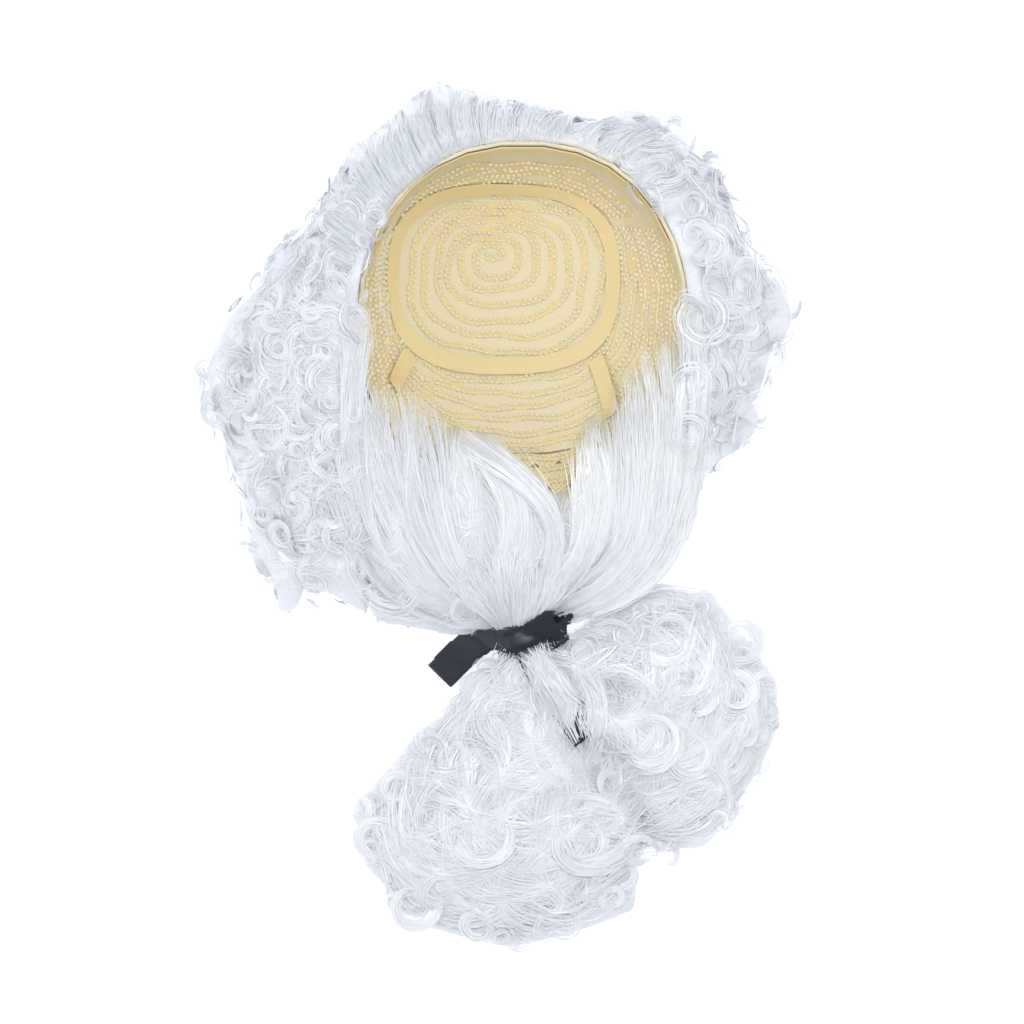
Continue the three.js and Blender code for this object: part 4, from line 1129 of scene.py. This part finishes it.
@dataclass
class NetCap:
    """The cap's inside: weft tracks with their stitches, and the thin trims over the net."""

    centre: Points
    ground: Ground
    crown_turns: int = 7
    wall_rows: int = 9
    stitch: float = 0.0029
    row_half: float = 0.0011
    lift: float = 0.0016

    def build(self, stitches: bpy.types.Material, tracks: bpy.types.Material) -> None:
        """Sews the crown's spiral and the rows round the wall.

        Args:
            stitches: Finish of the bright stitches.
            tracks: Finish of the track under them.
        """
        paths = [self._spiral()] + [self._wall_row(n) for n in range(self.wall_rows)]
        paths += [self._front_row(n) for n in range(3)]
        paths = [self._uneven(path, number) for number, path in enumerate(paths)]
        self._stitches(paths, stitches)
        self._tracks(paths, tracks)
        log.info("sewed %d rows", len(paths))

    def trim(self, name: str, points: Points, radius: float, finish: bpy.types.Material) -> None:
        """Lays a thin round thread along plan points in millimetres from the opening's middle.

        Args:
            name: Name of the piece.
            points: Plan points of the thread.
            radius: Its radius in metres.
            finish: Its material.
        """
        laid = self.ground.lay(np.array(points) * 0.001 + self.centre, radius + 0.0008)
        curve = bpy.data.curves.new(name, "CURVE")
        curve.dimensions = "3D"
        curve.bevel_depth = radius
        curve.bevel_resolution = 2
        curve.use_fill_caps = True
        spline = curve.splines.new("POLY")
        spline.points.add(len(laid) - 1)
        spline.points.foreach_set("co", np.concatenate([laid, np.ones((len(laid), 1))], axis=1).reshape(-1))
        show(name, curve, finish)

    def _tape_ring(self, angle: Points) -> Points:
        """Plan line of the crown tape, which parts the crown from the wall."""
        low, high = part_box("crown_tape")
        middle = np.array([(low.x + high.x) / 2, (low.y + high.y) / 2])
        half = ((high.x - low.x) / 2 - 0.004, (high.y - low.y) / 2 - 0.004)
        return middle + rounded(angle, half, 2.7)

    def _spiral(self) -> Points:
        """Plan line of the crown's spiral track."""
        t = np.linspace(0.25, self.crown_turns, 1600)
        ring = self._tape_ring(2 * np.pi * t + 1.6)
        whorl = self.centre + np.array([-0.2 * RIM[0], 0.42 * RIM[1]])
        return whorl + (ring - whorl) * (t / self.crown_turns)[:, None] * 0.93

    def _between(self, angle: Points, share: float) -> Points:
        """Plan line at a share of the way from the crown tape to the rim."""
        outer = self.centre + rounded(angle, RIM) * 0.985
        return self._tape_ring(angle) * (1 - share) + outer * share

    def _wall_row(self, number: int) -> Points:
        """Plan line of one row round the wall, open at the forehead."""
        return self._between(np.radians(np.linspace(150, 390, 420)), (number + 1.0) / (self.wall_rows + 1))

    def _front_row(self, number: int) -> Points:
        """Plan line of one row inside the forehead."""
        return self._between(np.radians(np.linspace(38, 142, 200)), 0.25 + 0.2 * number)

    def _uneven(self, path: Points, number: int) -> Points:
        """Lets a row wander a little, as hand sewing does."""
        run = np.concatenate([[0], np.cumsum(np.linalg.norm(np.diff(path, axis=0), axis=1))])
        along = unit(np.gradient(path, axis=0))
        drift = 0.0009 * np.sin(run / 0.011 + 1.7 * number) + 0.0006 * np.sin(run / 0.0047 + 2.9 * number)
        return path + np.stack([-along[:, 1], along[:, 0]], axis=1) * drift[:, None]

    def _stations(self, path: Points, pitch: float) -> Points:
        """Even places along a plan line."""
        run = np.linalg.norm(np.diff(path, axis=0), axis=1).sum()
        return spaced(path, int(run / pitch) + 1)

    def _stitches(self, paths: list[Points], material: bpy.types.Material) -> None:
        """Sets two lines of small bright stitches on each track."""
        rng = np.random.default_rng(5)
        shape = bmesh.new()
        bmesh.ops.create_icosphere(shape, subdivisions=1, radius=1.0)
        shape_verts = np.array([v.co for v in shape.verts])
        shape_faces = np.array([[v.index for v in f.verts] for f in shape.faces])
        shape.free()
        verts, faces, start = [], [], 0
        for path in paths:
            places = self._stations(path, self.stitch)
            along = unit(np.gradient(places, axis=0))
            side = np.stack([-along[:, 1], along[:, 0]], axis=1)
            for shift in (-1, 1):
                plan = places + side * self.row_half * shift + along * self.stitch * 0.25 * shift
                keep = self.ground.covers(plan) & (rng.uniform(0, 1, len(plan)) < 0.9)
                laid = self.ground.lay(plan, self.lift)[keep]
                size = rng.uniform(0.7, 1.25, len(laid))[:, None, None]
                flat = shape_verts[None, :, 0:1] * 0.0012 * along[keep][:, None, :]
                flat = (flat + shape_verts[None, :, 1:2] * 0.00075 * side[keep][:, None, :]) * size
                rise = shape_verts[None, :, 2:3] * 0.0005 * size
                verts.append((laid[:, None, :] + np.concatenate([flat, rise], axis=2)).reshape(-1, 3))
                step = np.arange(len(laid))[:, None, None] * len(shape_verts)
                faces.append((shape_faces[None] + step + start).reshape(-1, 3))
                start += len(verts[-1])
        mesh = bpy.data.meshes.new("stitches")
        mesh.from_pydata(np.concatenate(verts), [], np.concatenate(faces).tolist())
        show("weft_stitches", mesh, material)

    def _tracks(self, paths: list[Points], material: bpy.types.Material) -> None:
        """Lays the flat track under each line of stitches."""
        verts, faces, start = [], [], 0
        for path in paths:
            places = self._stations(path, 0.003)
            places = places[self.ground.covers(places)]
            along = unit(np.gradient(places, axis=0))
            side = np.stack([-along[:, 1], along[:, 0]], axis=1) * self.row_half * 1.6
            rows = [self.ground.lay(places + side * s, 0.0002 if s else 0.0008) for s in (-1, 0, 1)]
            verts.append(np.stack(rows, axis=1).reshape(-1, 3))
            base = start + 3 * np.arange(len(places) - 1)
            for k in (0, 1):
                faces.append(np.stack([base + k + 1, base + k, base + k + 3, base + k + 4], axis=1))
            start += 3 * len(places)
        mesh = bpy.data.meshes.new("tracks")
        mesh.from_pydata(np.concatenate(verts), [], np.concatenate(faces).tolist())
        tracks = show("weft_tracks", mesh, material)
        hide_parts("crown_wefts", *WALL_WEFTS)


@dataclass
class Studio:
    """Plain white floor, soft light and the camera over the wig."""

    look_at: Vector
    view_width: float = 0.553
    distance: float = 4.0
    sensor: float = 36.0

    def build(self) -> None:
        """Sets the floor, the lights and the camera."""
        self._floor()
        self._lights()
        self._camera()

    def _floor(self) -> None:
        """Lays a large white floor just under the wig."""
        shape = bmesh.new()
        bmesh.ops.create_grid(shape, x_segments=1, y_segments=1, size=6.0)
        mesh = bpy.data.meshes.new("floor")
        shape.to_mesh(mesh)
        shape.free()
        floor = bpy.data.objects.new("floor", mesh)
        floor.location.z = -0.0005
        bpy.context.scene.collection.objects.link(floor)
        material, nodes = material_nodes("floor_white")
        white = nodes.add("RGB")
        white.outputs[0].default_value = (0.9, 0.9, 0.9, 1)
        skin = nodes.skin(white.outputs[0], 0.9, 0.3)
        skin.inputs["Emission Color"].default_value = (1, 1, 1, 1)
        skin.inputs["Emission Strength"].default_value = 0.55
        mesh.materials.append(material)

    def _lights(self) -> None:
        """Fills the room with soft cool light and adds two large panels."""
        scene = bpy.context.scene
        scene.view_settings.view_transform = "Standard"
        world = bpy.data.worlds.new("room")
        world.use_nodes = True
        back = world.node_tree.nodes["Background"]
        back.inputs["Color"].default_value = (0.93, 0.96, 1.0, 1)
        back.inputs["Strength"].default_value = 0.64
        scene.world = world
        for name, place, size, power in (
            ("panel_top", (0.15, 0.3, 1.7), 0.6, 11.5),
            ("panel_side", (-1.2, -0.5, 1.3), 1.0, 3.5),
        ):
            light = bpy.data.lights.new(name, "AREA")
            light.size = size
            light.energy = power
            panel = bpy.data.objects.new(name, light)
            panel.location = place
            panel.rotation_euler = (self.look_at - Vector(place)).to_track_quat("-Z", "Y").to_euler()
            scene.collection.objects.link(panel)

    def _camera(self) -> None:
        """Places the camera straight above, with the forehead at the top of the frame."""
        data = bpy.data.cameras.new("camera")
        data.sensor_width = self.sensor
        data.lens = self.sensor * self.distance / self.view_width
        camera = bpy.data.objects.new("camera", data)
        camera.location = self.look_at + Vector((0, 0, self.distance))
        bpy.context.scene.collection.objects.link(camera)
        bpy.context.scene.camera = camera


NAPE_FLOWS = (
    Flow(((-93, -57), (-93, -84), (-88, -111), (-77, -136), (-53, -154), (-22, -166)), (8, 8, 4), 2),
    Flow(
        ((-84, -33), (-85, -57), (-82, -84), (-73, -111), (-60, -136), (-39, -152), (-16, -164)),
        (8, 9, 4),
        4,
    ),
    Flow(
        ((-71, -33), (-69, -57), (-68, -84), (-62, -111), (-50, -134), (-32, -150), (-11, -164)),
        (8, 9, 4),
        3,
    ),
    Flow(
        ((-56, -40), (-53, -63), (-51, -87), (-48, -111), (-39, -132), (-23, -149), (-9, -165)),
        (8, 9, 4),
        5,
    ),
    Flow(
        ((-40, -48), (-42, -67), (-34, -90), (-29, -111), (-30, -127), (-21, -148), (-8, -165)),
        (8, 9, 4),
        3,
    ),
    Flow(
        ((-38, -60), (-30, -78), (-24, -95), (-20, -112), (-16, -130), (-12, -148), (-6, -165)),
        (8, 9, 4),
        3,
    ),
    Flow(((-29, -60), (-17, -77), (-5, -91), (-1, -109), (-8, -127), (-12, -146), (-6, -166)), (7, 8, 4), 4),
    Flow(((-36, -58), (-17, -72), (3, -87), (18, -104), (20, -121), (10, -144), (-2, -165)), (5, 6, 3), 6),
    Flow(((-2, -92), (5, -107), (8, -123), (5, -144), (-2, -164)), (7, 8, 4), 3),
    Flow(((23, -92), (20, -107), (18, -123), (12, -144), (2, -162)), (8, 8, 4), 3),
    Flow(((37, -62), (36, -84), (37, -106), (33, -125), (20, -141), (6, -160)), (7, 8, 4), 4),
    Flow(((46, -41), (47, -68), (49, -95), (47, -117), (35, -136), (12, -157)), (8, 9, 4), 4),
    Flow(((58, -24), (60, -52), (63, -84), (62, -111), (52, -132), (31, -146), (8, -160)), (8, 9, 4), 5),
    Flow(
        ((71, -11), (74, -41), (76, -73), (74, -106), (68, -126), (48, -144), (20, -156), (5, -161)),
        (8, 9, 4),
        4,
    ),
    Flow(((-89, 6), (-90, -16), (-91, -38), (-92, -62), (-90, -84)), (4, 6, 5), 4),
    Flow(((90, 10), (91, -14), (91, -36), (89, -60), (84, -84)), (4, 6, 5), 4),
    Flow(
        ((83, -3), (88, -36), (89, -63), (86, -90), (80, -117), (72, -135), (52, -149), (6, -163)),
        (8, 9, 4),
        3,
    ),
)
TUFT_FLOWS = (
    Flow(((-34, -134), (-24, -149), (-8, -169)), (4, 4, 2), 6),
    Flow(((-22, -124), (-16, -146), (-7, -170)), (6, 5, 2), 8),
    Flow(((-10, -118), (-9, -146), (-5, -170)), (6, 5, 2), 9),
    Flow(((3, -118), (0, -146), (-3, -170)), (6, 5, 2), 9),
    Flow(((15, -124), (8, -146), (-1, -170)), (6, 5, 2), 8),
    Flow(((27, -134), (16, -149), (2, -168)), (4, 4, 2), 6),
)
TAIL_FLOWS = (
    Flow(((34, -186), (42, -210), (47, -240), (50, -270)), (9, 11, 9), 2),
    Flow(((52, -190), (48, -212), (40, -238), (44, -262)), (8, 9, 9), 3),
    Flow(((2, -176), (10, -191), (18, -205), (24, -216)), (6, 12, 12), 7),
    Flow(((3, -178), (11, -192), (20, -206), (27, -216)), (6, 12, 11), 6),
    Flow(((6, -178), (18, -190), (25, -202), (20, -222)), (3, 6, 6), 3),
    Flow(((24, -172), (38, -165), (55, -166), (68, -186)), (3, 5, 3), 4),
    Flow(((10, -180), (33, -186), (42, -204), (37, -228)), (3, 5, 3), 6),
    Flow(((-3, -179), (-12, -203), (-24, -237)), (4, 9, 10), 3),
    Flow(((1, -179), (4, -208), (5, -252)), (4, 10, 11), 3),
    Flow(((3, -179), (14, -204), (26, -246)), (4, 7, 8), 3),
    Flow(((-6, -179), (-29, -206), (-51, -237)), (4, 8, 9), 3),
    Flow(((25, -166), (48, -155), (78, -145), (107, -152)), (4, 7, 8), 3),
    Flow(((22, -176), (46, -173), (85, -177), (118, -198)), (4, 8, 9), 3),
    Flow(((42, -171), (69, -198), (90, -241), (96, -273)), (5, 10, 10), 2),
    Flow(((-12, -235), (-45, -257), (-77, -289)), (9, 11, 9), 2),
    Flow(((9, -246), (20, -284), (42, -311)), (9, 12, 9), 2),
)
TAIL_RINGS = (
    Ring(71, -224, 21, 200, 1), Ring(90, -234, 18, 120, -1), Ring(116, -200, 15, 150, -1),
    Ring(122, -221, 11, 40, 1), Ring(80, -170, 19, 190, 1), Ring(118, -174, 17, 150, -1),
    Ring(97, -255, 19, 80, -1), Ring(30, -282, 24, 110, -1), Ring(-20, -278, 24, 95, 1),
    Ring(-60, -316, 17, 60, -1), Ring(-24, -327, 12, 80, 1), Ring(-80, -280, 15, 45, 1),
    Ring(-39, -234, 11, 90, -1), Ring(47, -253, 14, 300, 1), Ring(14, -314, 13, 200, -1),
    Ring(-69, -252, 12, 10, 1), Ring(96, -203, 12, 250, 1), Ring(63, -284, 12, 330, -1),
    Ring(4, -222, 10, 100, 1), Ring(55, -299, 10, 200, 1), Ring(49, -312, 9, 250, -1),
    Ring(131, -197, 10, 20, 1), Ring(-88, -264, 9, 120, -1), Ring(78, -288, 9, 260, 1),
)


def dress_nodes(finishes: dict[str, bpy.types.Material]) -> None:
    """Gives every node of the model the finish of its slot.

    Args:
        finishes: Finish for each slot of the record.
    """
    for part in frame["record"]["subparts"]:
        node = frame["nodes"][part["node"]]
        node.data.materials.clear()
        node.data.materials.append(finishes[part["material_slot"]])
        log.info("dressed %s", part["node"])


def main() -> None:
    """Builds and dresses the wig, then the studio, and reports each piece."""
    logging.basicConfig(level=logging.INFO, format="%(message)s")
    rng = np.random.default_rng(20)
    low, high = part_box("cap_net")
    centre = np.array([(low.x + high.x) / 2, high.y - RIM[1] - CAP_WALL])

    grain, curls, net = strand_grain(), ring_curls(), thread_mesh()
    fibre = FibreFinish().material()
    curled = BodyFinish(Pattern.CURLED).material(curls, centre)
    combed = BodyFinish(Pattern.COMBED).material(grain, centre)
    satin = SatinFinish().material(grain)
    stitch_finish = KnitFinish("stitches", (1.0, 0.97, 0.86), (0.99, 0.95, 0.8), 900.0).material(net)
    finishes = {
        "net": KnitFinish("cap_net", (0.9, 0.77, 0.45), (0.8, 0.77, 0.67), 190.0).material(net),
        "tape": KnitFinish("yellow_tape", (0.92, 0.77, 0.46), (0.86, 0.7, 0.38), 260.0, 0.2).material(net),
        "weft": KnitFinish("weft_track", (0.92, 0.78, 0.44), (0.85, 0.7, 0.38), 260.0).material(net),
        "lace": KnitFinish("lace", (0.95, 0.85, 0.58), (0.76, 0.64, 0.38), 170.0).material(net),
        "cord": KnitFinish("cord", (0.97, 0.88, 0.66), (0.92, 0.8, 0.54), 600.0).material(net),
        "hair": curled,
        "ribbon": satin,
    }
    dress_nodes(finishes)

    bodies = {}
    for node in (*COAT, *TAILS, "crown_hair"):
        finish = combed if node in ("front_hair", "nape_hair") else curled
        clear = centre if node in COAT else None
        voxel = CROWN_VOXEL if node == "crown_hair" else HAIR_VOXEL
        smoothing = TAIL_SMOOTHING if node in TAILS else HAIR_SMOOTHING
        bodies[node] = SoftBody(node, voxel=voxel, smoothing=smoothing, opening=clear).build(finish)
    bow = SoftBody("ribbon_bow", "ribbon", voxel=BOW_VOXEL, smoothing=BOW_SMOOTHING).build(satin)

    coat = [bodies[node] for node in COAT]
    shell = HairShell(coat, centre)
    over_coat = Ground(coat, centre)
    over_tail = Ground([bodies[node] for node in TAILS])
    over_bow = Ground([*(bodies[node] for node in TAILS), bow])

    front = Sheaf("forehead_fibres", steps=10, width=0.00038)
    ForeheadRoll(shell).build(front, rng)
    sides = Sheaf("side_fibres", steps=12)
    SideCurls(shell, Side.LEFT, 105, (0.005, 0.012)).build(sides, rng)
    SideCurls(shell, Side.RIGHT, 80, (0.007, 0.016)).build(sides, rng)
    small = Sheaf("short_locks", steps=10)
    for side, locks in (("left_curls", 105), ("right_curls", 55)):
        wave = WavyLocks(over_coat, centre, locks, 24, (0.006, 0.016), (0.02, 0.045), 0.0036, 0.002)
        wave.build(small, rng, (side,))
    nape = Sheaf("nape_fibres", steps=9, width=0.0004, root=0.1)
    Frizz(over_coat, 500, (0.02, 0.06), 0.004).build(nape, rng, ("nape_hair",))
    Gathered(over_coat, centre, NAPE_FLOWS, 370, 0.74, 0.6, 0.003).build(nape, rng)
    Gathered(over_coat, centre, TUFT_FLOWS, 260, 1.0).build(nape, rng)
    rings = Sheaf("tail_rings", steps=14, width=0.00036)
    tail = Sheaf("tail_fibres", steps=9, width=0.00037)
    tie = centre + np.array([0.0, -TIE_REACH])
    WavyLocks(over_tail, tie, 200, 34, (0.02, 0.055), (0.05, 0.1), 0.0065, 0.0025).build(tail, rng, TAILS)
    TailCurls(over_tail, centre, TAIL_RINGS, 120).build(rings, tail, rng)
    Gathered(over_bow, centre, TAIL_FLOWS, 120, 0.65).build(tail, rng)
    Frizz(over_tail, 2000, (0.01, 0.04), 0.005).build(tail, rng, TAILS)
    Frizz(over_coat, 800, (0.006, 0.02), 0.004).build(tail, rng, ("left_curls",))
    for sheaf in (front, sides, small, nape, rings, tail):
        sheaf.build(fibre)

    bowl = Ground([frame["nodes"]["cap_net"], frame["nodes"]["nape_lace"]])
    cap = NetCap(centre, bowl)
    cap.build(stitch_finish, finishes["weft"])
    cap.trim("edge_cord", spaced(np.array([(-76, 51), (-76, 47), (-83, 31), (-89, 12)]), 24), 0.0006,
             finishes["cord"])
    across = np.linspace(-23, 12, 113)
    scallops = np.stack([across, -66.4 - 2.2 * np.abs(np.sin(np.pi * (across + 23) / 4.375))], axis=1)
    cap.trim("lace_scallops", scallops, 0.0004, finishes["cord"])

    Studio(Vector((centre[0] - 0.0059, centre[1] - 0.1015, 0.06))).build()


if __name__ == "__main__":
    main()
